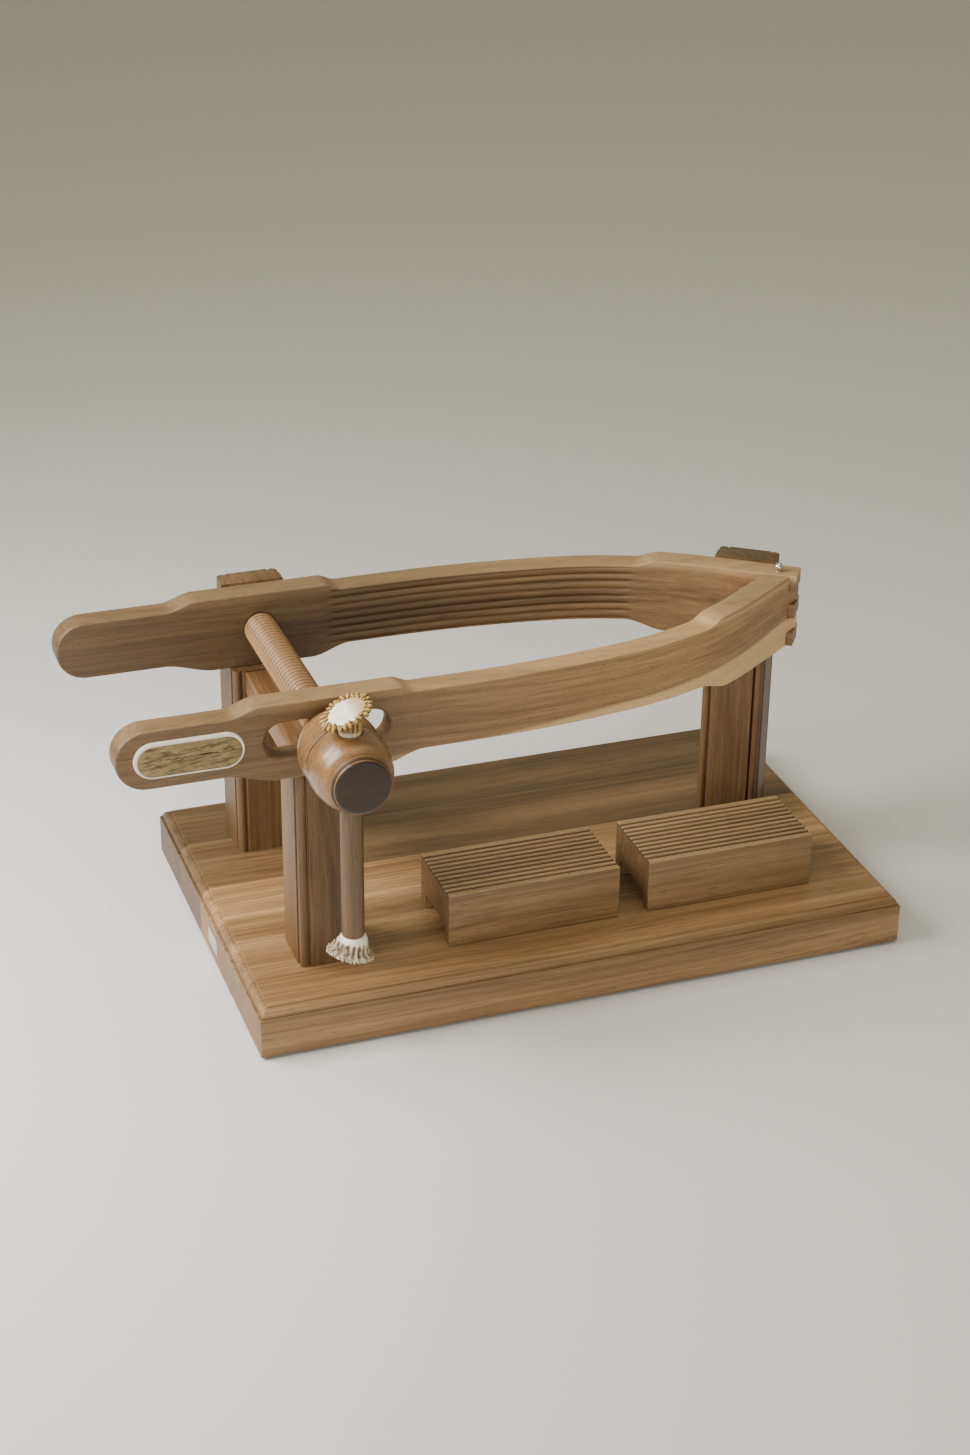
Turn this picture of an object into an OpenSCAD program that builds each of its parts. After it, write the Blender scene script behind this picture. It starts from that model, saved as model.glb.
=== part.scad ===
// Ham stand with a hinged clamp: a moulded board carries three posts, a fixed rear jaw and a
// swinging front jaw. A large screw with a turned head and a sliding bar draws the jaws together.
// Millimetres. Origin: centre of the board on the floor. +X runs to the hinge, +Y to the fixed jaw.

/* [Board] */
// Overall length of the board
base_length = 600; // [520:1:760]
// Overall width of the board
base_width = 375; // [340:1:460]
// Height of the plain vertical edge of the board
base_edge_height = 36.8; // [25:0.1:50]
// Height of the moulded upper edge
moulding_height = 8.9; // [6:0.1:12]
// How far the moulding steps in
moulding_inset = 9.2; // [6:0.1:14]
// Height of the feet under the board
foot_height = 2.5; // [1.5:0.1:8]
// Width of the front stave
front_stave = 71.25; // [50:0.25:90]
// Width of the second stave
second_stave = 81.4; // [50:0.1:100]
// Width of the middle stave
middle_stave = 60; // [40:0.5:80]
// Width of the fourth stave; the rear stave takes what is left
fourth_stave = 83.6; // [50:0.1:100]

/* [Posts] */
// Side of the square posts
post_side = 57.5; // [48:0.1:66]
// Height of the post seats above the board
post_height = 186.5; // [140:0.5:240]
// Size of the beaded corner of a post
corner_size = 9.5; // [6:0.1:12]
// Distance from the left end of the board to the left posts' centre line
post_setback = 80; // [70:0.5:110]
// How far a rear post stands proud of the rear jaw's gripping side
post_ledge = 9.75; // [5:0.25:14]
// Distance along the rear jaw from the hinge pin to the right post
right_post_back = 38.3; // [34:0.1:60]
// Height of the rear posts above the jaws
post_rise = 2; // [0:0.1:6]
// Width of the cross rail
rail_width = 35.5; // [24:0.5:44]
// Height of the cross rail
rail_height = 22; // [16:0.5:30]

/* [Jaws] */
// Distance of the plane between the jaws in front of the board's centre line
jaw_offset = 9.75; // [0:0.25:30]
// Clear width between the jaws at the screw
jaw_gap = 195.5; // [170:0.5:230]
// Thickness of a jaw
jaw_thickness = 24; // [20:0.5:28]
// Height of the broad parts of a jaw
jaw_height = 69.8; // [60:0.2:84]
// Lower edge of the slim parts above the broad ones
slim_rise = 9.8; // [5:0.1:14]
// Upper edge of the slim part below the broad ones
slim_drop = 5.5; // [3:0.1:9]
// Length of the handle beyond the left posts' centre line
handle_reach = 178.9; // [140:0.1:210]
// Extra length of the rear jaw's handle
rear_handle_more = 5; // [0:0.1:12]
// Angle at which each jaw runs into the hinge
jaw_angle = 35.3; // [30:0.1:40]
// Length of the straight run into the hinge
hinge_straight = 74.3; // [50:0.1:90]
// Radius of the gentle first bend of a jaw, before fitting
gentle_bend = 958; // [600:1:1300]
// Radius of the tighter second bend of a jaw, before fitting
tight_bend = 315; // [200:1:450]
// Broad part of a jaw to the left of the screw
broad_left = 57; // [50:0.5:70]
// Broad part of a jaw to the right of the screw
broad_right = 60; // [57:0.5:70]
// Broad part of a jaw before the hinge pin
broad_hinge = 97.5; // [80:0.5:120]
// Length over which the top edge steps between slim and broad
top_blend = 20; // [10:0.5:30]
// Length over which the lower edge steps between slim and broad
low_blend = 36; // [20:0.5:48]
// Distance of the hinge pin from the right end of the board
hinge_setback = 51; // [40:0.5:80]
// Distance of the hinge pin from where the jaws' centre lines cross
pin_inset = 6; // [0:0.1:7]
// Length of the rear jaw past that crossing
rear_tip = 13.4; // [11:0.1:24]
// Length of the front jaw past that crossing
front_tip = 7.2; // [5:0.1:10]
// Number of grooves along the gripping face
grip_grooves = 7; // [3:1:8]
// Depth of a gripping groove
groove_depth = 1.9; // [1:0.1:2.8]
// Length of the slot for the screw
slot_length = 108; // [90:0.5:120]
// Length of the antler inlay
inlay_length = 93; // [70:0.5:100]
// Height of the antler inlay
inlay_height = 33; // [20:0.5:38]
// Distance of the inlay from the handle's end
inlay_setback = 14.6; // [6:0.1:20]
// Radius of the hinge pin
pin_radius = 3; // [2:0.1:4]

/* [Screw] */
// Outer radius of the screw thread
screw_radius = 15; // [12:0.1:17]
// Depth of the thread
thread_depth = 1.9; // [1:0.1:2.5]
// Pitch of the thread
thread_pitch = 6; // [4:0.5:8]
// Length of the screw standing out behind the rear post
screw_tail = 32; // [20:0.5:40]
// Largest radius of the turned head
head_radius = 34.5; // [31:0.1:38]
// Length of the collar in front of its widest point
collar_length = 19.9; // [14:0.1:26]
// Length of the head that the bar passes through
head_length = 27; // [25:0.1:34]
// Length of the head's end cap
cap_length = 19.6; // [18:0.1:26]
// Radius of the sliding bar
bar_radius = 9.65; // [8:0.05:10.5]
// Length of the bare bar between its two end pieces
bar_length = 187; // [150:0.5:200]
// Radius of the flared end pieces
crown_radius = 23.3; // [18:0.1:25]
// Radius of the lower flared end piece
lower_crown_radius = 20.8; // [17:0.1:24]

/* [Rest blocks] */
// Length of a rest block
block_length = 160; // [120:1:180]
// Width of a rest block
block_width = 79; // [60:0.5:90]
// Height of a rest block
block_height = 51.5; // [35:0.1:70]
// Height of the channel under a rest block
channel_height = 16; // [8:0.5:20]
// Distance of the left rest block from the left posts' centre line
block_start = 103.4; // [60:0.1:120]
// Clear distance between the two rest blocks
block_spacing = 27.7; // [10:0.1:60]
// Distance of the rest blocks' middle in front of the plane between the jaws
block_forward = 89.2; // [70:0.5:100]
// Number of grooves across the top of a rest block
block_grooves = 10; // [5:1:11]

/* [Hidden] */
$fn = 96;
eps = 0.01;
base_top = foot_height + base_edge_height + moulding_height;
seat_z = base_top + post_height;                 // post seats, underside of the rear jaw
jaw_top = seat_z + jaw_height;
slide_gap = 0.4;                                 // front jaw floats above its seat
half_l = base_length / 2;
half_w = base_width / 2;
mid_y = -jaw_offset;                             // plane between the two jaws
half_gap = jaw_gap / 2;
half_c = half_gap + jaw_thickness / 2;           // plane to jaw centre line
half_out = half_gap + jaw_thickness;
post_x = -half_l + post_setback;
front_post_y = mid_y - half_out + post_side / 2;
rear_post_y = mid_y + half_gap - post_ledge + post_side / 2;
hinge_x = half_l - hinge_setback;                // where the jaws' centre lines cross
pin_x = hinge_x - pin_inset;
screw_z = seat_z + jaw_height * 0.52;
post_strip = -post_side / 2 + post_ledge + jaw_thickness;   // jaw's outer face in a post's own frame

// jaw centre line: straight, a flat arc, a tighter arc, straight to the hinge
a1 = 9.5;
a2 = jaw_angle;
ax = gentle_bend * sin(a1) + tight_bend * (sin(a2) - sin(a1));
ay = gentle_bend * (1 - cos(a1)) + tight_bend * (cos(a1) - cos(a2));
arc_scale = (half_c - hinge_straight * sin(a2)) / ay;
arc_start = hinge_x - hinge_straight * cos(a2) - arc_scale * ax;
r_a = gentle_bend * arc_scale;
r_b = tight_bend * arc_scale;
ca = [arc_start, -half_c + r_a];                 // arc centres, jaw frame
pa = [arc_start + r_a * sin(a1), -half_c + r_a * (1 - cos(a1))];
cb = [pa[0] - r_b * sin(a1), pa[1] + r_b * cos(a1)];
pb = [cb[0] + r_b * sin(a2), cb[1] - r_b * cos(a2)];
grip_x = hinge_x - broad_hinge - top_blend;      // where the grooves stop
grip_angle = asin(min((grip_x - cb[0]) / (r_b - jaw_thickness / 2), sin(a2)));

handle_r = (jaw_height - slim_rise - 7.7) / 2;
handle_mid = seat_z + slim_rise + handle_r;
handle_end = post_x - handle_reach;

slot_r = screw_radius + 1.2;
seat_gap = 0.6;                                  // ball clear of the slot at rest
ball_y = mid_y - half_out - sqrt(pow(head_radius, 2) - pow(slot_r, 2)) - seat_gap;
collar_front = ball_y - collar_length;
head_back = collar_front - 0.4;
head_front = head_back - head_length;
bar_y = head_back - bar_radius - 2.55;
shank_r = screw_radius - thread_depth - 0.5;
tenon_r = 12;
screw_back = rear_post_y + post_side / 2 + screw_tail;
bar_top = screw_z + head_radius - 3.3;
bar_bottom = bar_top - bar_length;
groove_pitch = (jaw_height - slim_rise - slim_drop) / (grip_grooves + 0.4);
foot_r = 11;
block_pitch = block_width / (block_grooves + 1.2);
stud_r = 3;
finger_n = 5;
finger_h = jaw_height / finger_n;
finger_gap = 0.4;

function ease(t) = t * t * (3 - 2 * t);
function ramp(x0, z0, x1, z1, n = 8) =
  [for (i = [0:n]) [x0 + (x1 - x0) * i / n, z0 + (z1 - z0) * ease(i / n)]];

// cylinder lying along +Y from y0 to y1
module ycyl(y0, y1, r, x = 0, z = 0) {
  translate([x, y0, z]) rotate([-90, 0, 0]) cylinder(h = y1 - y0, r = r);
}
module xcyl(x0, x1, r, y = 0, z = 0) {
  translate([x0, y, z]) rotate([0, 90, 0]) cylinder(h = x1 - x0, r = r);
}
module box(x0, x1, y0, y1, z0, z1) {
  translate([x0, y0, z0]) cube([x1 - x0, y1 - y0, z1 - z0]);
}

// ---------- board ----------
function edge_profile(h) = concat(
  [[-h, 0], [h, 0], [h, base_edge_height], [h - 1.4, base_edge_height],
   [h - 1.4, base_edge_height + 1]],
  [for (i = [1:6]) [h - 1.4 - (moulding_inset - 3) * (1 - cos(i * 15)),
                    base_edge_height + 1 + (moulding_height - 2.1) * sin(i * 15)]],
  [[h - moulding_inset, base_edge_height + moulding_height - 1.1],
   [h - moulding_inset, base_edge_height + moulding_height],
   [-h + moulding_inset, base_edge_height + moulding_height],
   [-h + moulding_inset, base_edge_height + moulding_height - 1.1]],
  [for (i = [6:-1:1]) [-h + 1.4 + (moulding_inset - 3) * (1 - cos(i * 15)),
                       base_edge_height + 1 + (moulding_height - 2.1) * sin(i * 15)]],
  [[-h + 1.4, base_edge_height + 1], [-h + 1.4, base_edge_height], [-h, base_edge_height]]);

module board_blank() {
  translate([0, 0, foot_height]) intersection() {
    translate([-half_l, 0, 0]) rotate([90, 0, 90])
      linear_extrude(height = base_length) polygon(edge_profile(half_w));
    translate([0, half_w, 0]) rotate([90, 0, 0])
      linear_extrude(height = base_width) polygon(edge_profile(half_l));
  }
}
stave_cut = [-half_w - 1, -half_w + front_stave, -half_w + front_stave + second_stave,
  -half_w + front_stave + second_stave + middle_stave,
  -half_w + front_stave + second_stave + middle_stave + fourth_stave, half_w + 1];
module stave(i) {
  difference() {
    intersection() {
      board_blank();
      box(-half_l - 1, half_l + 1, stave_cut[i], stave_cut[i + 1], 0, base_top + 1);
    }
    bolt_holes();
    plate_recess(0.1);
  }
}
module board_stave_front() { color([0.60, 0.42, 0.27]) stave(0); }
module board_stave_front_inner() { color([0.55, 0.38, 0.24]) stave(1); }
module board_stave_middle() { color([0.66, 0.49, 0.31]) stave(2); }
module board_stave_rear_inner() { color([0.57, 0.40, 0.26]) stave(3); }
module board_stave_rear() { color([0.52, 0.36, 0.23]) stave(4); }

module foot_pads() {
  color([0.18, 0.15, 0.13])
    for (x = [-1, 1], y = [-1, 1])
      translate([x * (half_l - 40), y * (half_w - 40), 0]) cylinder(h = foot_height, r = foot_r);
  color([0.18, 0.15, 0.13]) cylinder(h = foot_height, r = foot_r);
}

module plate_recess(gap) {
  box(-half_l - 1, -half_l + 0.8 + gap, -36 - gap, -6 + gap,
      foot_height + 11 - gap, foot_height + 27 + gap);
}
module name_plate() {
  color([0.83, 0.82, 0.79])
    box(-half_l - 0.4, -half_l + 0.8, -36, -6, foot_height + 11, foot_height + 27);
}

// ---------- posts ----------
post_spots = [[post_x, front_post_y, 0], [post_x, rear_post_y, 0],
  [hinge_x - right_post_back * cos(a2) + (jaw_thickness / 2 - post_strip) * sin(a2),
   mid_y + right_post_back * sin(a2) + (jaw_thickness / 2 - post_strip) * cos(a2), -a2]];

module at_post(i) { translate([post_spots[i][0], post_spots[i][1], 0]) rotate(post_spots[i][2]) children(); }

// post standing on the board, centred, with a bead worked on each corner
module post_blank(height) {
  s = post_side / 2;
  r = corner_size / 2 - 0.35;
  translate([0, 0, base_top]) union() {
    difference() {
      translate([-s, -s, 0]) cube([post_side, post_side, height]);
      for (x = [-1, 1], y = [-1, 1])
        translate([x * (s - corner_size / 2 + 1), y * (s - corner_size / 2 + 1), height / 2])
          cube([corner_size + 2, corner_size + 2, height + 2], center = true);
    }
    for (x = [-1, 1], y = [-1, 1])
      translate([x * (s - corner_size / 2 - 0.2), y * (s - corner_size / 2 - 0.2), 0])
        cylinder(h = height, r = r + 0.35);
  }
}
module bolt_at(i, r, z0, z1) {
  at_post(i) for (d = [-1, 1]) translate([d * 13, -d * 8, z0]) cylinder(h = z1 - z0, r = r);
}
module bolt_holes() {
  for (i = [0:2]) {
    bolt_at(i, 3.05, foot_height - 1, base_top + 45.5);
    bolt_at(i, 7.1, foot_height - 1, foot_height + 8);
  }
}
module post_bolts() {
  color([0.72, 0.72, 0.70]) for (i = [0:2]) {
    bolt_at(i, 3, foot_height + 7, base_top + 45);
    bolt_at(i, 7, foot_height + 3, foot_height + 8);
  }
}
module post_front_left() {
  color([0.42, 0.28, 0.19]) difference() {
    at_post(0) post_blank(post_height);
    bolt_holes();
    dowel_set(3.05);
  }
}
module post_rear_left() {
  color([0.42, 0.28, 0.19]) difference() {
    at_post(1) post_blank(post_height + jaw_height + post_rise);
    box(post_x - post_side, post_x + post_side, rear_post_y - post_side, mid_y + half_out, seat_z,
        jaw_top + post_rise + 1);
    bolt_holes();
    dowel_set(3.05);
    jaw_dowel_set(3.05);
    ycyl(rear_post_y - 40, rear_post_y + 40, screw_radius + 0.5, post_x, screw_z);
  }
}
module post_rear_right() {
  color([0.42, 0.28, 0.19]) difference() {
    at_post(2) difference() {
      post_blank(post_height + jaw_height + post_rise);
      box(-post_side, post_side, -post_side, post_strip + 0.02, seat_z, jaw_top + post_rise + 1);
    }
    bolt_holes();
    jaw_dowel_set(3.05);
  }
}

// ---------- cross rail ----------
rail_y0 = front_post_y + post_side / 2;
rail_y1 = rear_post_y - post_side / 2;
module cross_rail() {
  color([0.40, 0.27, 0.18]) difference() {
    box(post_x - rail_width / 2, post_x + rail_width / 2, rail_y0, rail_y1,
        seat_z - 0.9 - rail_height, seat_z - 0.9);
    dowel_set(3.05);
  }
}
module dowel_set(r) {
  for (x = [-9, 9]) {
    ycyl(rail_y0 - 18 - (r > 3 ? 0.5 : 0), rail_y0 + 18 + (r > 3 ? 0.5 : 0), r,
         post_x + x, seat_z - 0.9 - rail_height / 2);
    ycyl(rail_y1 - 18 - (r > 3 ? 0.5 : 0), rail_y1 + 18 + (r > 3 ? 0.5 : 0), r,
         post_x + x, seat_z - 0.9 - rail_height / 2);
  }
}
module rail_dowels() { color([0.72, 0.56, 0.36]) dowel_set(3); }

// ---------- jaws, drawn in a frame whose y = 0 is the plane between them ----------
handle_blend = 29;
function top_line(e) = concat([[e + handle_r, handle_mid + handle_r]],
  ramp(post_x - broad_left - handle_blend, handle_mid + handle_r, post_x - broad_left, jaw_top),
  ramp(post_x + broad_right, jaw_top, post_x + broad_right + top_blend * 0.8, jaw_top - slim_drop),
  ramp(hinge_x - broad_hinge - top_blend, jaw_top - slim_drop, hinge_x - broad_hinge, jaw_top),
  [[half_l + 60, jaw_top]]);
function low_line(e) = concat([[half_l + 60, seat_z]],
  ramp(hinge_x - broad_hinge + 9, seat_z, hinge_x - broad_hinge + 9 - low_blend, seat_z + slim_rise),
  ramp(post_x + broad_right - 12 + low_blend, seat_z + slim_rise, post_x + broad_right - 12, seat_z),
  ramp(post_x - broad_left + 15, seat_z, post_x - broad_left + 15 - low_blend * 1.3, handle_mid - handle_r),
  [[e + handle_r, handle_mid - handle_r]]);

// angles along the two arcs, and the jaw's plan line set off by o from its centre line
arc_a = [for (i = [0:4]) a1 * i / 4];
arc_b = [for (i = [1:11]) a1 + (a2 - a1) * i / 11];
grip_b = concat([for (a = arc_b) if (a < grip_angle - 0.4) a], [grip_angle]);
function plan_line(o, angles_b) = concat(
  [for (a = arc_a) [ca[0] + (r_a + o) * sin(a), ca[1] - (r_a + o) * cos(a)]],
  [for (a = angles_b) [cb[0] + (r_b + o) * sin(a), cb[1] - (r_b + o) * cos(a)]]);
function tail_point(o, l) =
  [pb[0] + o * sin(a2) + l * cos(a2), pb[1] - o * cos(a2) + l * sin(a2)];
function flip(p) = [for (i = [len(p) - 1:-1:0]) p[i]];

module plan_strip(e, len_out) {
  t = jaw_thickness / 2;
  translate([0, 0, seat_z - 5]) linear_extrude(height = jaw_height + 10, convexity = 6)
    polygon(concat([[e - 5, -half_c - t]], plan_line(t, arc_b), [tail_point(t, hinge_straight + len_out)],
      [tail_point(-t, hinge_straight + len_out)], flip(plan_line(-t, arc_b)), [[e - 5, -half_c + t]]));
}
module side_outline(e) {
  translate([0, 60, 0]) rotate([90, 0, 0]) linear_extrude(height = half_out + 100, convexity = 6)
    polygon(concat(top_line(e), low_line(e)));
  translate([e + handle_r, 60, handle_mid]) rotate([90, 0, 0])
    cylinder(h = half_out + 100, r = handle_r);
}
grip_start = min(post_x + broad_right, arc_start - 1);
// one stepped groove running the length of the gripping face
module grip_groove(z, depth, high) {
  o = -jaw_thickness / 2;
  translate([0, 0, z - high / 2]) linear_extrude(height = high, convexity = 4)
    polygon(concat([[grip_start, -half_c - o - depth]], plan_line(o + depth, grip_b),
      flip(plan_line(o - 1, grip_b)), [[grip_start, -half_c - o + 1]]));
}
module grip_cuts() {
  for (i = [0:grip_grooves - 1]) {
    z = seat_z + slim_rise + groove_pitch * (i + 0.7);
    grip_groove(z, groove_depth, groove_pitch * 0.3);
    grip_groove(z, groove_depth * 0.45, groove_pitch * 0.6);
  }
}
module jaw_blank(e, len_out) {
  difference() {
    intersection() {
      plan_strip(e, len_out);
      side_outline(e);
    }
    grip_cuts();
  }
}
module hinge_bore(r, z0, z1) { translate([pin_x, mid_y, z0]) cylinder(h = z1 - z0, r = r); }

module rear_jaw() {
  color([0.50, 0.35, 0.23]) difference() {
    translate([0, mid_y, 0]) mirror([0, 1, 0]) difference() {
      jaw_blank(handle_end - rear_handle_more, rear_tip);
      for (k = [1, 3])
        translate([hinge_x, 0, 0]) rotate([0, 0, -a2])
          box(-60, 60, -jaw_thickness / 2 - 1.9, 60,
              seat_z + k * finger_h - finger_gap / 2, seat_z + (k + 1) * finger_h + finger_gap / 2);
    }
    hinge_bore(pin_radius + 0.08, seat_z + 3, jaw_top + 1);
    ycyl(mid_y + half_gap - 1, mid_y + half_out + 1, screw_radius + 0.5, post_x, screw_z);
    jaw_dowel_set(3.05);
  }
}
module front_jaw() {
  color([0.52, 0.36, 0.24]) difference() {
    translate([0, mid_y, 0]) difference() {
      jaw_blank(handle_end, front_tip);
      for (k = [0, 2, 4])
        translate([hinge_x, 0, 0]) rotate([0, 0, -a2])
          box(-60, 60, -jaw_thickness / 2 - 2.9, 60,
              seat_z + k * finger_h - finger_gap / 2 - (k == 0 ? 5 : 0),
              seat_z + (k + 1) * finger_h + finger_gap / 2 + (k == 4 ? 5 : 0));
      // tips stop short of the outer face of the other jaw
      translate([hinge_x, 0, 0]) rotate([0, 0, -a2])
        box(-60, 60, jaw_thickness / 2 - 1, 60, seat_z - 6, jaw_top + 6);
    }
    box(handle_end - 5, half_l + 60, -half_w, half_w, seat_z - 5, seat_z + slide_gap);
    hinge_bore(pin_radius + 0.08, seat_z - 1, jaw_top + 1);
    screw_slot();
    inlay_shape(0.1);
  }
}
module screw_slot() {
  y0 = mid_y - half_out - 1;
  y1 = mid_y - half_gap + 1;
  hl = slot_length / 2 - slot_r;
  ycyl(y0, y1, slot_r, post_x - hl, screw_z);
  ycyl(y0, y1, slot_r, post_x + hl, screw_z);
  box(post_x - hl, post_x + hl, y0, y1, screw_z - slot_r, screw_z + slot_r);
}
module jaw_dowel_set(r) {
  d = r > 3 ? 0.5 : 0;
  for (x = [-21, 21])
    ycyl(mid_y + half_out - 12 - d, mid_y + half_out + 14 + d, r, post_x + x, seat_z + 12);
  at_post(2) for (x = [-12, 12])
    translate([x, post_strip - 12 - d, seat_z + jaw_height / 2]) rotate([-90, 0, 0])
      cylinder(h = 26 + 2 * d, r = r);
}
module jaw_dowels() { color([0.72, 0.56, 0.36]) jaw_dowel_set(3); }

inlay_y = mid_y - half_out;
module inlay_shape(gap) {
  x0 = handle_end + inlay_setback;
  x1 = x0 + inlay_length;
  r = inlay_height / 2;
  for (x = [x0 + r, x1 - r]) ycyl(inlay_y - 3, inlay_y + 4 + gap, r + gap, x, handle_mid);
  box(x0 + r, x1 - r, inlay_y - 3, inlay_y + 4 + gap, handle_mid - r - gap, handle_mid + r + gap);
}
// slice of antler: flat polished rim, raised ribbed middle
module grip_inlay() {
  x0 = handle_end + inlay_setback;
  x1 = x0 + inlay_length;
  r = inlay_height / 2;
  color([0.80, 0.74, 0.62]) difference() {
    inlay_shape(0);
    difference() {
      box(x0 - 1, x1 + 1, inlay_y - 4, inlay_y - 0.8, handle_mid - 20, handle_mid + 20);
      for (x = [x0 + r, x1 - r]) ycyl(inlay_y - 5, inlay_y, r - 4.5, x, handle_mid);
      box(x0 + r, x1 - r, inlay_y - 5, inlay_y, handle_mid - r + 4.5, handle_mid + r - 4.5);
    }
    for (i = [-3:3])
      xcyl(x0 + r, x1 - r, 1.1, inlay_y - 3.4, handle_mid + i * 3.1);
  }
}

// ---------- hinge pin ----------
module hinge_pin() {
  color([0.78, 0.78, 0.76]) translate([pin_x, mid_y, 0]) union() {
    translate([0, 0, seat_z + 3.4]) cylinder(h = jaw_height, r = pin_radius);
    translate([0, 0, jaw_top + pin_radius + 1.3]) sphere(r = pin_radius + 1.1, $fn = 48);
  }
}

// ---------- screw and its head ----------
module thrust_collar() {
  color([0.46, 0.31, 0.22]) difference() {
    union() {
      intersection() {
        translate([post_x, ball_y, screw_z]) sphere(r = head_radius);
        box(post_x - 60, post_x + 60, ball_y, ball_y + 60, screw_z - 60, screw_z + 60);
      }
      translate([post_x, ball_y, screw_z]) rotate([90, 0, 0])
        cylinder(h = ball_y - collar_front, r1 = head_radius, r2 = head_radius - 1);
    }
    ycyl(collar_front - 1, ball_y + 60, shank_r + 0.35, post_x, screw_z);
  }
}
thread_from = mid_y - half_out + 3;
thread_n = floor((screw_back - 6 - thread_from) / thread_pitch);
module clamp_screw() {
  root = screw_radius - thread_depth;
  color([0.60, 0.44, 0.36]) difference() {
    translate([post_x, 0, screw_z]) rotate([-90, 0, 0]) union() {
      translate([0, 0, head_front + 0.6])
        cylinder(h = head_back - head_front - 0.1, r = tenon_r);
      translate([0, 0, head_back])
        cylinder(h = thread_from - head_back + 0.8, r = shank_r);
      rotate_extrude() polygon(concat(
        [[0, thread_from], [root, thread_from]],
        [for (i = [0:thread_n - 1]) each
          [[root, thread_from + thread_pitch * (i + 0.1)],
           [screw_radius, thread_from + thread_pitch * (i + 0.42)],
           [screw_radius, thread_from + thread_pitch * (i + 0.58)],
           [root, thread_from + thread_pitch * (i + 0.9)]]],
        [[root, screw_back - 2], [root - 2, screw_back], [0, screw_back]]));
    }
    bar_bore();
    head_pin_hole(1.55, 31.5);
  }
}
module bar_bore() {
  translate([post_x, bar_y, screw_z - 60]) cylinder(h = 120, r = bar_radius + 0.08);
}
module head_pin_hole(r, l) {
  xcyl(post_x - l, post_x + l, r, head_front + 2.6, screw_z);
}
module head_pin() { color([0.72, 0.56, 0.36]) head_pin_hole(1.5, 30); }
module screw_head() {
  hr = head_radius;
  n = 10;
  color([0.48, 0.33, 0.23]) difference() {
    translate([post_x, 0, screw_z]) rotate([-90, 0, 0]) rotate_extrude()
      polygon(concat([[0, head_back], [0, head_front], [hr - 2.6, head_front]],
        [for (i = [0:n]) [hr - 0.9 - 1.5 * pow(1 - i / n, 2) + 1.3 * sin(180 * i / n),
                            head_front + 0.8 + (head_length - 1.8) * i / n]],
        [[hr - 1.6, head_back]]));
    ycyl(head_front - 1, head_back + 1, tenon_r + 0.05, post_x, screw_z);
    bar_bore();
    // seat of the upper crown's neck
    translate([post_x, bar_y, screw_z + head_radius - 3.5]) cylinder(h = 10, r = bar_radius + 1.15);
    head_pin_hole(1.55, 31.5);
  }
}
module head_cap() {
  hr = head_radius;
  n = 8;
  color([0.44, 0.30, 0.21])
    translate([post_x, 0, screw_z]) rotate([-90, 0, 0]) rotate_extrude()
      polygon(concat([[0, head_front], [0, head_front - cap_length], [22.5, head_front - cap_length],
        [23.7, head_front - cap_length + 0.7], [24.3, head_front - cap_length + 3],
        [26.5, head_front - cap_length + 3.8],
        [26.7, head_front - cap_length + 5.2], [24.2, head_front - cap_length + 7]],
        [for (i = [0:n]) [hr - 9 + 6.4 * sin(90 * i / n),
                          head_front - (cap_length - 8) + (cap_length - 8.4) * (1 - cos(90 * i / n))]],
        [[hr - 2.6, head_front]]));
}

// ---------- sliding bar with antler ends ----------
module slide_bar() {
  color([0.47, 0.33, 0.24]) difference() {
    translate([post_x, bar_y, bar_bottom]) cylinder(h = bar_length, r = bar_radius);
    translate([post_x, bar_y, bar_bottom - 1]) cylinder(h = 13.5, r = stud_r + 0.05);
    translate([post_x, bar_y, bar_top - 12.5]) cylinder(h = 13.5, r = stud_r + 0.05);
  }
}
// antler burr standing on z = 0: neck, flare and a beaded rim of radius cr tilted by [tx, ty]
module burr(neck, flare, tx, ty, cr, beads, bead_r) {
  difference() {
    union() {
      cylinder(h = neck + 2, r = bar_radius - 0.4);
      cylinder(h = 2.2, r = bar_radius + 0.25);
      translate([0, 0, neck]) rotate([tx, ty, 0]) {
        translate([0, 0, -1.2]) cylinder(h = flare + 1.2, r1 = bar_radius - 1.4, r2 = cr - 4.5);
        translate([0, 0, flare]) cylinder(h = 3.2, r = cr - 2.6);
        translate([0, 0, flare + 3.2]) cylinder(h = 1.4, r1 = cr - 7.5, r2 = cr - 10);
        for (i = [1:beads]) rotate([0, 0, 360 * i / beads])
          translate([cr - bead_r, 0, flare + 1.6]) sphere(r = bead_r, $fn = 20);
      }
    }
    translate([0, 0, -1]) cylinder(h = 9.5, r = stud_r + 0.05);
  }
}
module crown_upper() {
  color([0.76, 0.62, 0.38]) translate([post_x, bar_y, bar_top]) burr(15.5, 3.5, 2, -26, crown_radius, 20, 2.7);
}
module crown_lower() {
  color([0.78, 0.73, 0.63]) translate([post_x, bar_y, bar_bottom]) mirror([0, 0, 1])
    burr(3, 11.5, 4, -13, lower_crown_radius, 18, 2.7);
}
module crown_studs() {
  color([0.72, 0.72, 0.70]) for (z = [bar_bottom, bar_top])
    translate([post_x, bar_y, z]) translate([0, 0, z == bar_top ? -12 : -8]) cylinder(h = 20, r = stud_r);
}

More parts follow.
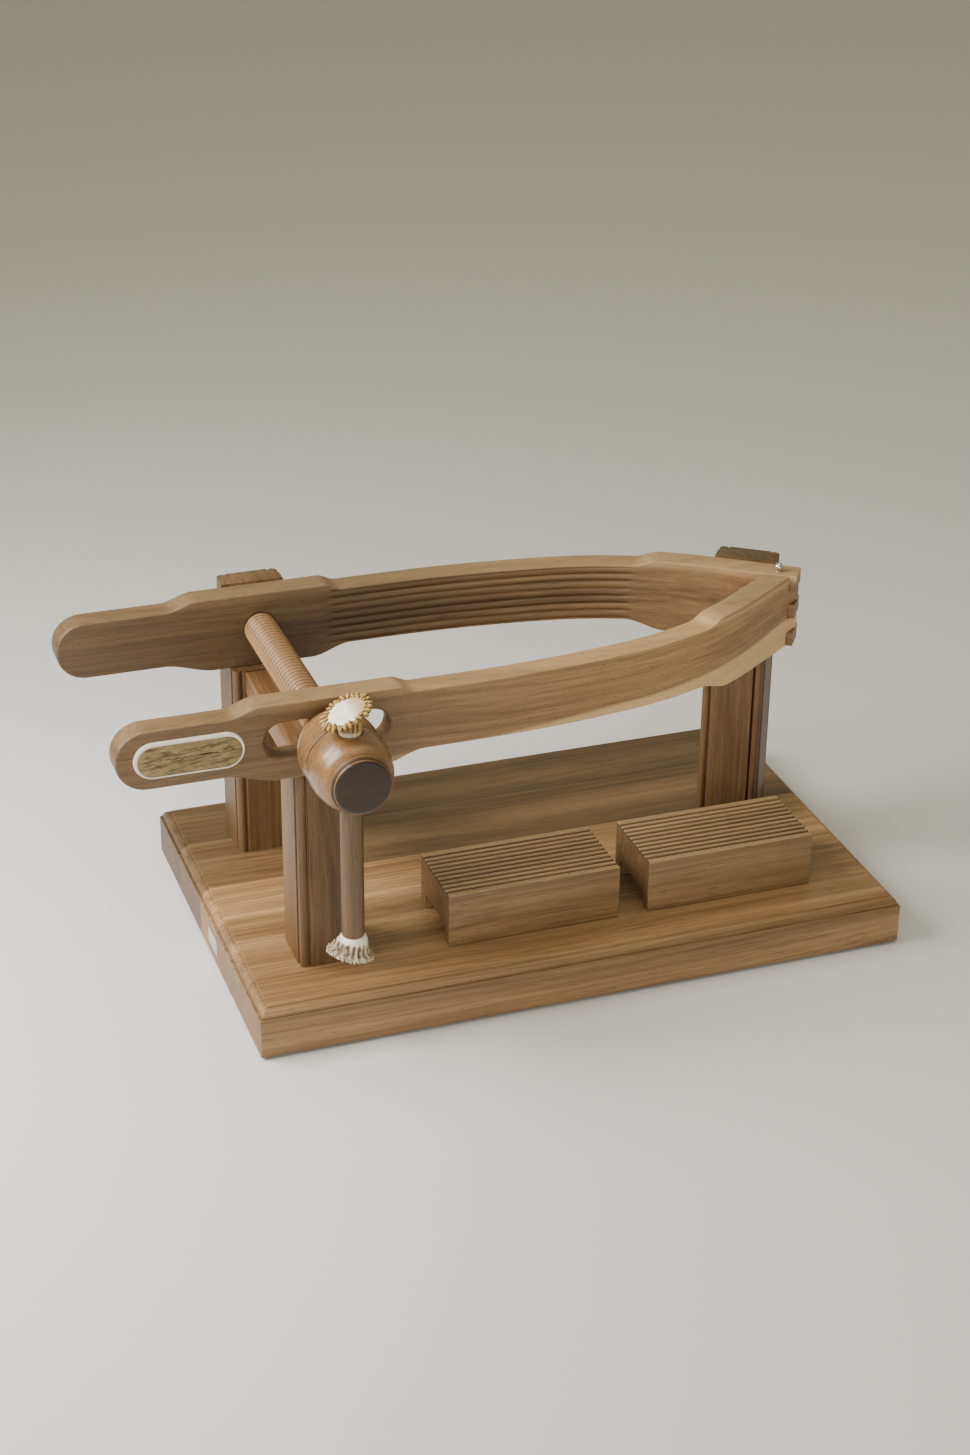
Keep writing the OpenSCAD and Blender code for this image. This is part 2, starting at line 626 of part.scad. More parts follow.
// ---------- rest blocks ----------
module rest_block(x, y) {
  w = block_width;
  cw = w - 22;
  translate([x, y, base_top]) difference() {
    translate([-block_length / 2, -w / 2, 0]) cube([block_length, w, block_height]);
    // channel with rounded upper corners
    translate([-block_length / 2 - 1, -cw / 2, -1]) cube([block_length + 2, cw, channel_height - 4]);
    translate([-block_length / 2 - 1, -cw / 2 + 5, -1]) cube([block_length + 2, cw - 10, channel_height + 1]);
    for (s = [-1, 1])
      xcyl(-block_length / 2 - 1, block_length / 2 + 1, 5, s * (cw / 2 - 5), channel_height - 5);
    for (i = [0:block_grooves - 1])
      xcyl(-block_length / 2 - 1, block_length / 2 + 1, 2,
           (i - (block_grooves - 1) / 2) * block_pitch, block_height + 0.4);
  }
}
block_y = mid_y - block_forward;
block_x = post_x + block_start + block_length / 2;
module rest_block_left() { color([0.50, 0.34, 0.23]) rest_block(block_x, block_y); }
module rest_block_right() {
  color([0.50, 0.34, 0.23]) rest_block(block_x + block_length + block_spacing, block_y);
}

board_stave_front();
board_stave_front_inner();
board_stave_middle();
board_stave_rear_inner();
board_stave_rear();
foot_pads();
name_plate();
post_front_left();
post_rear_left();
post_rear_right();
cross_rail();
rail_dowels();
post_bolts();
rear_jaw();
jaw_dowels();
front_jaw();
grip_inlay();
hinge_pin();
thrust_collar();
clamp_screw();
screw_head();
head_cap();
head_pin();
slide_bar();
crown_upper();
crown_lower();
crown_studs();
rest_block_left();
rest_block_right();
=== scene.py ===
"""Looks of a walnut ham stand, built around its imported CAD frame."""

from math import asin, cos, hypot, pi, radians, sin, sqrt

import bmesh
import bpy
import numpy as np
from mathutils import Matrix, Vector


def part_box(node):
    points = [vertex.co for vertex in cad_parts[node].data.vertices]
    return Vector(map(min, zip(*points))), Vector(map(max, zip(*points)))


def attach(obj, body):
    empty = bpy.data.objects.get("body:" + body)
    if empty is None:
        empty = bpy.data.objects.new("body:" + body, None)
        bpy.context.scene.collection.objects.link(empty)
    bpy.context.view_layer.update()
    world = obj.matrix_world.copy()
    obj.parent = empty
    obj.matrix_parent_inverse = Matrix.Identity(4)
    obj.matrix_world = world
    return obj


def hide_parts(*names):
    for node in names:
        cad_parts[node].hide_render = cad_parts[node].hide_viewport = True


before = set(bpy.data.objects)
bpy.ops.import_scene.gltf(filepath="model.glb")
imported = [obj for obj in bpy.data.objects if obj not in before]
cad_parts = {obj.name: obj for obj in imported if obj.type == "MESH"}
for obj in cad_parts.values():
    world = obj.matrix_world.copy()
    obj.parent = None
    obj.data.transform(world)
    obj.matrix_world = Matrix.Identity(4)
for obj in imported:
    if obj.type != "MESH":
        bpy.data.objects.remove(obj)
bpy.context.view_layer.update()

MM = 0.001

# ---------------------------------------------------------------- sizes, in mm, from the frame


def box_mm(node):
    lo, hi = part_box(node)
    return np.array(lo) / MM, np.array(hi) / MM


board_lo, board_hi = box_mm("board_stave_front")
BOARD_LOW = board_lo[2]
BASE_TOP = board_hi[2]
HALF_L = board_hi[0]
HALF_W = -board_lo[1]
EDGE_HIGH, MOULD_HIGH, MOULD_IN = 36.8, 8.9, 9.2
rear_lo, rear_hi = box_mm("rear_jaw")
front_lo = box_mm("front_jaw")[0]
SEAT_Z, JAW_TOP = rear_lo[2], rear_hi[2]
FRONT_LOW = front_lo[2]
HANDLE_END = front_lo[0]
REAR_END = rear_lo[0]
HALF_OUT = (rear_hi[1] - front_lo[1]) / 2
MID_Y = (rear_hi[1] + front_lo[1]) / 2
JAW_T = 24.0
HALF_C = HALF_OUT - JAW_T / 2
pin_lo, pin_hi = box_mm("hinge_pin")
PIN_X = (pin_lo[0] + pin_hi[0]) / 2
PIN_INSET = 6.0
HINGE_X = PIN_X + PIN_INSET  # where the jaws' centre lines cross
PIN_BORE = 3.1
REAR_TIP, FRONT_TIP = 13.4, 7.2  # jaw lengths past that crossing
REAR_CUT, FRONT_CUT = 1.9, 2.9  # room left between the hinge's fingers
bar_lo, bar_hi = box_mm("slide_bar")
POST_X = (bar_lo[0] + bar_hi[0]) / 2
BAR_Y = (bar_lo[1] + bar_hi[1]) / 2
BAR_R = (bar_hi[0] - bar_lo[0]) / 2
BAR_LOW, BAR_TOP = bar_lo[2], bar_hi[2]
screw_lo, screw_hi = box_mm("clamp_screw")
SCREW_Z = (screw_lo[2] + screw_hi[2]) / 2
SCREW_R = (screw_hi[2] - screw_lo[2]) / 2
SCREW_BORE = SCREW_R + 0.5
SCREW_BACK = screw_hi[1]
head_lo, head_hi = box_mm("screw_head")
HEAD_FRONT, HEAD_BACK = head_lo[1], head_hi[1]
CAP_FRONT = box_mm("head_cap")[0][1]
collar_lo, collar_hi = box_mm("thrust_collar")
COLLAR_FRONT = collar_lo[1]
HEAD_R = (collar_hi[0] - collar_lo[0]) / 2
COLLAR_LONG = 19.9
BALL_Y = COLLAR_FRONT + COLLAR_LONG
POST_SIDE, POST_SHOWS = 57.5, 9.75  # a post's side, and how far it stands out past the jaw's gripping face
POST_EDGE = -POST_SIDE / 2 + POST_SHOWS + JAW_T  # jaw's outer face in a post's own frame
JAW_ANGLE = radians(35.3)
SLIM_RISE, SLIM_DROP = 9.8, 5.5
HANDLE_R = (JAW_TOP - SEAT_Z - SLIM_RISE - 7.7) / 2
HANDLE_MID = SEAT_Z + SLIM_RISE + HANDLE_R
THREAD_PITCH, THREAD_DEEP = 6.0, 1.9
SLOT_R, SLOT_LONG = SCREW_R + 1.2, 108.0

# ---------------------------------------------------------------- materials


def material(name):
    mat = bpy.data.materials.new(name)
    mat.use_nodes = True
    tree = mat.node_tree
    return mat, tree, tree.nodes["Principled BSDF"]


def put(socket, value, tree):
    """Sets a socket to a number, or links another node's output to it."""
    if isinstance(value, bpy.types.NodeSocket):
        tree.links.new(value, socket)
    else:
        socket.default_value = value


def maths(tree, op, a, b=0.0, c=0.0):
    n = tree.nodes.new("ShaderNodeMath")
    n.operation = op
    for socket, value in zip(n.inputs, (a, b, c)):
        put(socket, value, tree)
    return n.outputs[0]


def stretch(tree, vector, scale):
    n = tree.nodes.new("ShaderNodeMapping")
    put(n.inputs["Vector"], vector, tree)
    n.inputs["Scale"].default_value = scale
    return n.outputs[0]


def noise(tree, vector, scale=1.0, detail=2.0, rough=0.5):
    n = tree.nodes.new("ShaderNodeTexNoise")
    put(n.inputs["Vector"], vector, tree)
    n.inputs["Scale"].default_value = scale
    n.inputs["Detail"].default_value = detail
    n.inputs["Roughness"].default_value = rough
    return n.outputs["Fac"]


def spread(tree, value, low, high, out_low=0.0, out_high=1.0):
    n = tree.nodes.new("ShaderNodeMapRange")
    n.interpolation_type = "SMOOTHSTEP"
    keys = ("Value", "From Min", "From Max", "To Min", "To Max")
    for key, v in zip(keys, (value, low, high, out_low, out_high)):
        put(n.inputs[key], v, tree)
    return n.outputs["Result"]


def mix(tree, fac, a, b):
    n = tree.nodes.new("ShaderNodeMix")
    n.data_type = "RGBA"
    put(n.inputs[0], fac, tree)
    for socket, value in ((n.inputs[6], a), (n.inputs[7], b)):
        put(socket, (*value, 1.0) if isinstance(value, tuple) else value, tree)
    return n.outputs[2]


def ramp(tree, fac, stops):
    n = tree.nodes.new("ShaderNodeValToRGB")
    put(n.inputs[0], fac, tree)
    els = n.color_ramp.elements
    while len(els) < len(stops):
        els.new(0.5)
    for el, (pos, colour) in zip(els, stops):
        el.position, el.color = pos, (*colour, 1.0)
    return n.outputs[0]


def bump(tree, bsdf, height, strength, distance):
    n = tree.nodes.new("ShaderNodeBump")
    put(n.inputs["Height"], height, tree)
    n.inputs["Strength"].default_value = strength
    n.inputs["Distance"].default_value = distance
    tree.links.new(n.outputs[0], bsdf.inputs["Normal"])


DARK = (0.092, 0.049, 0.019)
MID = (0.190, 0.108, 0.046)
LIGHT = (0.292, 0.178, 0.082)
# pale sapwood colour, also the colour of the painted light on the rest blocks' ridge tops
SAP_AND_PAINTED_LIGHT = (0.450, 0.295, 0.140)


def tint(colour, k):
    return tuple(c * k for c in colour)


def wood(name, grain="x", seed=0.0, tone=1.0, contrast=1.0, rough=0.46, sap_and_painted_light=None, figure=1.0, warm=1.0,
         shade=None, coat=0.0, flat=1.0):
    """Oiled walnut whose fibres run along one axis.

    The paler mix places sapwood, and on the rest blocks painted light on the ridge tops. shade darkens chosen
    places:
    a darker tone along the jaws and on the cap's flat end, and painted shade in the thread, seams and
    grooves.
    figure sets how close the rings lie, and flat below 1 stretches them sideways, for bent parts.
    """
    mat, tree, bsdf = material(name)
    where = tree.nodes.new("ShaderNodeTexCoord")
    split = tree.nodes.new("ShaderNodeSeparateXYZ")
    tree.links.new(where.outputs["Object"], split.inputs[0])
    order = {"x": (0, 1, 2), "y": (1, 2, 0), "z": (2, 0, 1)}[grain]
    join = tree.nodes.new("ShaderNodeCombineXYZ")
    for socket, k in zip(join.inputs, order):
        tree.links.new(split.outputs[k], socket)
    along = tree.nodes.new("ShaderNodeMapping")
    along.inputs["Location"].default_value = (seed * 3.17, seed * 1.37, seed * 0.71)
    along.inputs["Scale"].default_value = (1, flat, 1)
    tree.links.new(join.outputs[0], along.inputs["Vector"])
    v = along.outputs[0]
    # slow drift of the fibres to either side
    drift = noise(tree, stretch(tree, v, (2.2, 5, 5)), detail=1.5)
    sway = tree.nodes.new("ShaderNodeVectorMath")
    sway.operation = "MULTIPLY_ADD"
    tree.links.new(drift, sway.inputs[0])
    sway.inputs[1].default_value = (0.0, 0.030, 0.030)
    tree.links.new(v, sway.inputs[2])
    v = sway.outputs[0]
    broad = noise(tree, stretch(tree, v, (1.5, 34 * figure, 34 * figure)), detail=2.0)
    rings = noise(tree, stretch(tree, v, (2.4, 230 * figure, 230 * figure)), detail=3.5, rough=0.62)
    fibre = noise(tree, stretch(tree, v, (12, 950, 950)), detail=2.0, rough=0.6)
    pores = noise(tree, stretch(tree, v, (60, 1400 / flat, 1400)), detail=1.0)
    t = maths(tree, "MULTIPLY", broad, 0.40)
    t = maths(tree, "MULTIPLY_ADD", rings, 0.38, t)
    t = maths(tree, "MULTIPLY_ADD", fibre, 0.22, t)
    half = 0.20 / contrast
    t = spread(tree, t, 0.5 - half, 0.5 + half)
    warmth = (warm, 1.0, 1.0 / warm)
    shades = [tuple(c * tone * w for c, w in zip(s, warmth)) for s in (DARK, MID, LIGHT)]
    colour = ramp(tree, t, [(0.0, shades[0]), (0.5, shades[1]), (1.0, shades[2])])
    # paler mix: sapwood on the jaws, painted light on the rest blocks' ridge tops
    if sap_and_painted_light is not None:
        colour = mix(tree, sap_and_painted_light(tree, split), colour, mix(tree, t, tint(SAP_AND_PAINTED_LIGHT, 0.72 * tone), tint(SAP_AND_PAINTED_LIGHT, tone)))
    pore = spread(tree, pores, 0.60, 0.72)
    colour = mix(tree, maths(tree, "MULTIPLY", pore, 0.55), colour, tint(DARK, 0.8 * tone))
    # end grain drinks more oil and looks darker
    facing = tree.nodes.new("ShaderNodeSeparateXYZ")
    tree.links.new(where.outputs["Normal"], facing.inputs[0])
    end = spread(tree, maths(tree, "ABSOLUTE", facing.outputs[order[0]]), 0.80, 0.97)
    growth = noise(tree, stretch(tree, v, (1, 420, 90)), detail=2.0)
    end_colour = mix(tree, spread(tree, growth, 0.35, 0.65), tint(DARK, 1.15 * tone), tint(MID, 0.95 * tone))
    colour = mix(tree, maths(tree, "MULTIPLY", end, 0.8), colour, end_colour)
    # shade: a darker tone on the jaws and cap end, painted shade in the thread, seams and grooves
    if shade is not None:
        colour = mix(tree, shade(tree, split), colour, (0.0, 0.0, 0.0))
    tree.links.new(colour, bsdf.inputs["Base Color"])
    put(bsdf.inputs["Roughness"], spread(tree, fibre, 0.2, 0.8, rough - 0.05, rough + 0.07), tree)
    bsdf.inputs["IOR"].default_value = 1.47
    height = maths(tree, "SUBTRACT", fibre, maths(tree, "MULTIPLY", pore, 0.8))
    bump(tree, bsdf, height, 0.25, 0.00025)
    bsdf.inputs["Coat Weight"].default_value = coat
    bsdf.inputs["Coat Roughness"].default_value = 0.16
    return mat


def plain(name, colour, rough, metal=0.0, grain=0.0):
    mat, tree, bsdf = material(name)
    where = tree.nodes.new("ShaderNodeTexCoord").outputs["Object"]
    mottle = noise(tree, where, scale=180, detail=3.0)
    fine = mix(tree, mottle, tint(colour, 0.86), tint(colour, 1.08))
    tree.links.new(fine, bsdf.inputs["Base Color"])
    bsdf.inputs["Metallic"].default_value = metal
    put(bsdf.inputs["Roughness"], spread(tree, mottle, 0.3, 0.7, rough * 0.85, rough * 1.15), tree)
    if grain:
        streaks = noise(tree, stretch(tree, where, (40, 40, 3000)), detail=2.0)
        bump(tree, bsdf, streaks, grain, 0.0001)
    return mat


def antler(name, bark, hollow, polish=(0.80, 0.74, 0.62), grain=(60, 500, 500)):
    """Antler: painted red picks between ribbed bark and cut, buffed bone; painted green puts painted shade in
    the hollows.
    """
    mat, tree, bsdf = material(name)
    where = tree.nodes.new("ShaderNodeTexCoord").outputs["Object"]
    paint = tree.nodes.new("ShaderNodeVertexColor")
    paint.layer_name = "paint"
    parts = tree.nodes.new("ShaderNodeSeparateColor")
    tree.links.new(paint.outputs["Color"], parts.inputs[0])
    streak = noise(tree, stretch(tree, where, grain), detail=4.0, rough=0.65)
    cloud = noise(tree, where, scale=90, detail=3.0)
    rough_side = mix(tree, spread(tree, streak, 0.35, 0.65), tint(bark, 0.52), tint(bark, 1.1))
    rough_side = mix(tree, spread(tree, cloud, 0.4, 0.7, 0.0, 0.5), rough_side, tint(bark, 1.35))
    # painted shade: the green paint darkens the bark in its hollows
    pit = maths(tree, "MULTIPLY", parts.outputs["Green"], spread(tree, streak, 0.3, 0.6, 1.0, 0.75))
    rough_side = mix(tree, pit, rough_side, hollow)
    cut = mix(tree, spread(tree, cloud, 0.35, 0.75), polish, tint(polish, 0.86))
    tree.links.new(mix(tree, parts.outputs["Red"], rough_side, cut), bsdf.inputs["Base Color"])
    put(bsdf.inputs["Roughness"], spread(tree, parts.outputs["Red"], 0.0, 1.0, 0.52, 0.24), tree)
    bsdf.inputs["Subsurface Weight"].default_value = 0.08
    bsdf.inputs["Subsurface Radius"].default_value = (0.002, 0.0014, 0.0008)
    bump(tree, bsdf, streak, 0.35, 0.0004)
    return mat


# ---------------------------------------------------------------- mesh helpers, in mm


def raw_mesh(name, verts, faces):
    me = bpy.data.meshes.new(name)
    me.from_pydata([tuple(np.asarray(p) * MM) for p in verts], [], [tuple(map(int, f)) for f in faces])
    return me


def face_outwards(me):
    bm = bmesh.new()
    bm.from_mesh(me)
    bmesh.ops.recalc_face_normals(bm, faces=bm.faces)
    bm.to_mesh(me)
    bm.free()


def make(name, verts, faces, mat, body, slot, nodes, angle=38.0, paint=None):
    """One piece: a mesh in mm, its material, the body it rides on and the CAD nodes it stands for."""
    finish_piece(name, raw_mesh(name, verts, faces), mat, body, nodes, angle, paint)


def finish_piece(name, me, mat, body, nodes, angle=38.0, paint=None):
    me.validate()
    face_outwards(me)
    me.polygons.foreach_set("use_smooth", [True] * len(me.polygons))
    me.set_sharp_from_angle(angle=radians(angle))
    if paint is not None:
        layer = me.color_attributes.new("paint", "FLOAT_COLOR", "POINT")
        layer.data.foreach_set("color", np.asarray(paint, dtype=float).ravel())
    obj = bpy.data.objects.new(name, me)
    bpy.context.scene.collection.objects.link(obj)
    me.materials.append(mat)
    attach(obj, body)
    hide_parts(*nodes)


def grid_faces(rows, cols):
    """Four-sided faces over rows of points that close on themselves."""
    out = []
    for i in range(rows - 1):
        for j in range(cols):
            k = (j + 1) % cols
            out.append((i * cols + j, i * cols + k, (i + 1) * cols + k, (i + 1) * cols + j))
    return out


def closed_faces(rows, cols):
    """The same, with the two open ends filled."""
    ends = [tuple(range(cols))[::-1], tuple((rows - 1) * cols + j for j in range(cols))]
    return grid_faces(rows, cols) + ends


def tube(sections):
    """Joins equal loops of points into a closed tube."""
    sections = np.asarray(sections)
    return sections.reshape(-1, 3), closed_faces(*sections.shape[:2])


def lathe(profile, centre, axis="y", n=96, ring=False):
    """Turns (radius, position along the axis) points about an axis through centre."""
    t = np.linspace(0, 2 * pi, n, endpoint=False)
    verts = []
    for r, s in profile:
        a, b = r * np.cos(t), r * np.sin(t)
        if axis == "y":
            verts += [(centre[0] + p, s, centre[2] + q) for p, q in zip(a, b)]
        else:
            verts += [(centre[0] + p, centre[1] + q, s) for p, q in zip(a, b)]
    rows = len(profile)
    if not ring:
        return verts, closed_faces(rows, n)
    last = (rows - 1) * n
    return verts, grid_faces(rows, n) + [(last + j, last + (j + 1) % n, (j + 1) % n, j) for j in range(n)]


def to_mesh(verts, faces):
    me = raw_mesh("work", verts, faces)
    face_outwards(me)
    return me


def carve(me, cutters):
    """me with each cutter mesh taken out of it."""
    obj = bpy.data.objects.new("carved", me)
    bpy.context.scene.collection.objects.link(obj)
    tools = []
    for k, cutter in enumerate(cutters):
        tool = bpy.data.objects.new(f"cutter{k}", cutter)
        bpy.context.scene.collection.objects.link(tool)
        tools.append(tool)
        m = obj.modifiers.new(f"cut{k}", "BOOLEAN")
        m.operation, m.solver, m.object = "DIFFERENCE", "EXACT", tool
    done = bpy.data.meshes.new_from_object(obj.evaluated_get(bpy.context.evaluated_depsgraph_get()))
    for o in [obj, *tools]:
        bpy.data.objects.remove(o)
    done.materials.clear()
    return done


def block(lo, hi, turn=None):
    """A plain box mesh for cutting with, in mm, optionally through a 4x4 matrix in mm."""
    c = [(x, y, z) for x in (lo[0], hi[0]) for y in (lo[1], hi[1]) for z in (lo[2], hi[2])]
    if turn is not None:
        c = [tuple(turn @ Vector(p)) for p in c]
    return to_mesh(c, [(0, 1, 3, 2), (4, 6, 7, 5), (0, 4, 5, 1), (2, 3, 7, 6), (0, 2, 6, 4), (1, 5, 7, 3)])


def rod(centre, axis, lo, hi, r, n=48):
    """A round cutter in mm along y or z."""
    return to_mesh(*lathe([(r, lo), (r, hi)], centre, axis, n))


def rounded_box(lo, hi, r):
    me = block(lo, hi)
    bm = bmesh.new()
    bm.from_mesh(me)
    bmesh.ops.bevel(bm, geom=bm.edges[:], offset=r * MM, segments=3, affect="EDGES", profile=0.5)
    bm.to_mesh(me)
    bm.free()
    return me


def ease(t):
    t = np.clip(t, 0, 1)
    return t * t * (3 - 2 * t)


def steps(x, stations):
    """A height that eases between (x, height) stations given in pairs."""
    z = np.full_like(x, stations[0][1], dtype=float)
    for (x0, z0), (x1, z1) in zip(stations[:-1], stations[1:]):
        inside = (x >= x0) & (x <= x1)
        z[inside] = z0 + (z1 - z0) * ease((x[inside] - x0) / (x1 - x0))
    z[x > stations[-1][0]] = stations[-1][1]
    return z


# ---------------------------------------------------------------- board


def board():
    h, top = BOARD_LOW, BASE_TOP
    edge = h + EDGE_HIGH
    prof = [(0.6, h), (0.0, h + 0.6), (0.0, edge - 0.3), (0.3, edge), (2.1, edge - 0.3), (2.1, edge + 0.9)]
    for k in range(11):
        a = radians(9 * k)
        prof.append((2.2 + (MOULD_IN - 3.7) * (1 - cos(a)), edge + 0.6 + (MOULD_HIGH - 2.5) * sin(a)))
    prof += [(MOULD_IN - 0.6, top - 2.0), (MOULD_IN - 0.45, top - 0.5), (MOULD_IN, top)]
    loops = []
    for inset, z in prof:
        r = max(1.2 - inset * 0.08, 0.5)
        loop = []
        for cx, cy, a0 in ((1, 1, 0), (-1, 1, 90), (-1, -1, 180), (1, -1, 270)):
            for k in range(5):
                a = radians(a0 + 22.5 * k)
                x = cx * (HALF_L - inset - r) + r * cos(a)
                y = cy * (HALF_W - inset - r) + r * sin(a)
                loop.append((x, y, z))
        loops.append(loop)
    verts, faces = tube(loops)
    names = ["front", "front_inner", "middle", "rear_inner", "rear"]
    cuts = [box_mm(f"board_stave_{part}")[1][1] for part in names[:-1]]
    edges = [-HALF_W - 5, *cuts, HALF_W + 5]
    # the staves differ in tone; the two rear staves' low tones are partly their own wood and partly painted
    # shade for the rear jaw's shadow on them
    looks = [("walnut_board", 1.28, 1.0, 3.1), ("walnut_board_pale", 1.24, 1.25, 8.4),
             ("walnut_board_sap", 1.60, 1.3, 12.9), ("walnut_board_pale", 0.76, 1.0, 21.7),
             ("walnut_board", 0.56, 1.0, 33.2)]
    for k, (part, (slot, tone, contrast, seed)) in enumerate(zip(names, looks)):
        bm = bmesh.new()
        bm.from_mesh(to_mesh(verts, faces))
        for y, outward in ((edges[k], -1), (edges[k + 1], 1)):
            whole = bm.verts[:] + bm.edges[:] + bm.faces[:]
            cut = bmesh.ops.bisect_plane(bm, geom=whole, plane_co=(0, y * MM, 0),
                                         plane_no=(0, outward, 0), clear_outer=True)
            rim = [e for e in cut["geom_cut"] if isinstance(e, bmesh.types.BMEdge)]
            if rim:
                bmesh.ops.holes_fill(bm, edges=rim)
        me = bpy.data.meshes.new("stave")
        bm.to_mesh(me)
        bm.free()
        if part != "middle":
            shanks = [rod((x, y, 0), "z", BOARD_LOW - 1, BASE_TOP + 1, 3.1) for x, y in BOLTS]
            heads = [rod((x, y, 0), "z", BOARD_LOW - 1, BOARD_LOW + 8, 7.2) for x, y in BOLTS]
            me = carve(me, shanks + heads)
        mat = wood(f"board_{part}_walnut", "x", seed, tone, contrast)
        finish_piece(f"board_{part}", me, mat, "stand", (f"board_stave_{part}",), 30)


# ---------------------------------------------------------------- posts and rail


def post_outline():
    s, c = POST_SIDE / 2, 9.5
    quirk, r = 2.3, 4.25
    centre = s - c / 2 - 0.1
    corner = [(s - c, s - 0.3), (s - c + 0.25, s - quirk)]
    for k in range(13):
        a = radians(150 - 20 * k)
        corner.append((centre + r * cos(a), centre + r * sin(a)))
    corner += [(s - quirk, s - c + 0.25), (s - 0.3, s - c)]
    corner = [(s - c - 0.4, s)] + corner + [(s, s - c - 0.4)]
    out = []
    for k in range(4):
        a = -pi / 2 * k
        out += [(x * cos(a) - y * sin(a), x * sin(a) + y * cos(a)) for x, y in corner]
    return np.array(out)


def post(name, node, centre, turn, top, seed, cutters=(), tone=0.66):
    outline = post_outline()
    ca, sa = cos(turn), sin(turn)
    loops = []
    for z, k in ((BASE_TOP, 1.0), (top - 0.9, 1.0), (top - 0.25, 0.992), (top, 0.972)):
        p = outline * k
        x = centre[0] + p[:, 0] * ca - p[:, 1] * sa
        y = centre[1] + p[:, 0] * sa + p[:, 1] * ca
        loops.append(np.c_[x, y, np.full(len(p), z)])
    me = to_mesh(*tube(loops))
    if cutters:
        me = carve(me, list(cutters))
    mat = wood(f"{name}_walnut", "z", seed, tone, 1.1, warm=1.07)
    finish_piece(name, me, mat, "stand", (node,), 30)


front_post_lo, front_post_hi = box_mm("post_front_left")
back_post_lo, back_post_hi = box_mm("post_rear_left")
right_lo, right_hi = box_mm("post_rear_right")
FRONT_POST = (front_post_lo + front_post_hi) / 2
BACK_POST = (back_post_lo + back_post_hi) / 2
RIGHT_POST = (right_lo + right_hi) / 2
BOLTS = []
for centre, turn in ((FRONT_POST, 0.0), (BACK_POST, 0.0), (RIGHT_POST, -JAW_ANGLE)):
    for d in (-1, 1):
        x, y = d * 13, -d * 8
        BOLTS.append((centre[0] + x * cos(turn) - y * sin(turn), centre[1] + x * sin(turn) + y * cos(turn)))


def posts():
    far = POST_SIDE
    post("post_front_left_wood", "post_front_left", FRONT_POST, 0.0, SEAT_Z, 41.3)
    notch = block((POST_X - far, BACK_POST[1] - far, SEAT_Z),
                  (POST_X + far, MID_Y + HALF_OUT, back_post_hi[2] + 5))
    bore = rod((POST_X, 0, SCREW_Z), "y", BACK_POST[1] - 50, BACK_POST[1] + 50, SCREW_BORE)
    post("post_rear_left_wood", "post_rear_left", BACK_POST, 0.0, back_post_hi[2], 52.8, [notch, bore])
    turn = Matrix.Translation((RIGHT_POST[0], RIGHT_POST[1], 0)) @ Matrix.Rotation(-JAW_ANGLE, 4, "Z")
    notch = block((-far, -far, SEAT_Z), (far, POST_EDGE, right_hi[2] + 5), turn)
    post("post_rear_right_wood", "post_rear_right", RIGHT_POST, -JAW_ANGLE, right_hi[2], 66.1, [notch], 0.54)
    lo, hi = box_mm("cross_rail")
    mat = wood("rail_walnut", "y", 71.0, 0.78, warm=1.10)
    finish_piece("cross_rail_wood", rounded_box(lo, hi, 1.2), mat, "stand", ("cross_rail",))


# ---------------------------------------------------------------- jaws

A1 = radians(9.5)
GENTLE, TIGHT, STRAIGHT = 958.0, 315.0, 74.3
BEND = (HALF_C - STRAIGHT * sin(JAW_ANGLE)) / (
    GENTLE * (1 - cos(A1)) + TIGHT * (cos(A1) - cos(JAW_ANGLE)))
R_A, R_B = GENTLE * BEND, TIGHT * BEND
ARC_START = HINGE_X - STRAIGHT * cos(JAW_ANGLE) - R_A * sin(A1) - R_B * (sin(JAW_ANGLE) - sin(A1))
LEN_A, LEN_B = R_A * A1, R_B * (JAW_ANGLE - A1)


def plan(s):
    """Centre line of the front jaw in its own frame: point and angle at a distance s past the first bend."""
    if s <= 0:
        return ARC_START + s, -HALF_C, 0.0
    if s <= LEN_A:
        a = s / R_A
        return ARC_START + R_A * sin(a), -HALF_C + R_A * (1 - cos(a)), a
    x, y = ARC_START + R_A * sin(A1), -HALF_C + R_A * (1 - cos(A1))
    if s <= LEN_A + LEN_B:
        a = A1 + (s - LEN_A) / R_B
        return x + R_B * (sin(a) - sin(A1)), y + R_B * (cos(A1) - cos(a)), a
    x += R_B * (sin(JAW_ANGLE) - sin(A1))
    y += R_B * (cos(A1) - cos(JAW_ANGLE))
    d = s - LEN_A - LEN_B
    return x + d * cos(JAW_ANGLE), y + d * sin(JAW_ANGLE), JAW_ANGLE


TOP_LINE = [(-1e4, HANDLE_MID + HANDLE_R), (POST_X - 86, HANDLE_MID + HANDLE_R), (POST_X - 57, JAW_TOP),
            (POST_X + 60, JAW_TOP), (POST_X + 76, JAW_TOP - SLIM_DROP),
            (HINGE_X - 117.5, JAW_TOP - SLIM_DROP), (HINGE_X - 97.5, JAW_TOP)]
LOW_LINE = [(-1e4, HANDLE_MID - HANDLE_R), (POST_X - 88.8, HANDLE_MID - HANDLE_R), (POST_X - 42, SEAT_Z),
            (POST_X + 48, SEAT_Z), (POST_X + 84, SEAT_Z + SLIM_RISE), (HINGE_X - 124.5, SEAT_Z + SLIM_RISE),
            (HINGE_X - 88.5, SEAT_Z)]
FLUTES = 7
FLUTE_PITCH = (JAW_TOP - SEAT_Z - SLIM_RISE - SLIM_DROP) / (FLUTES + 0.4)
FLUTE_FROM, FLUTE_TO = POST_X + 60, HINGE_X - 112


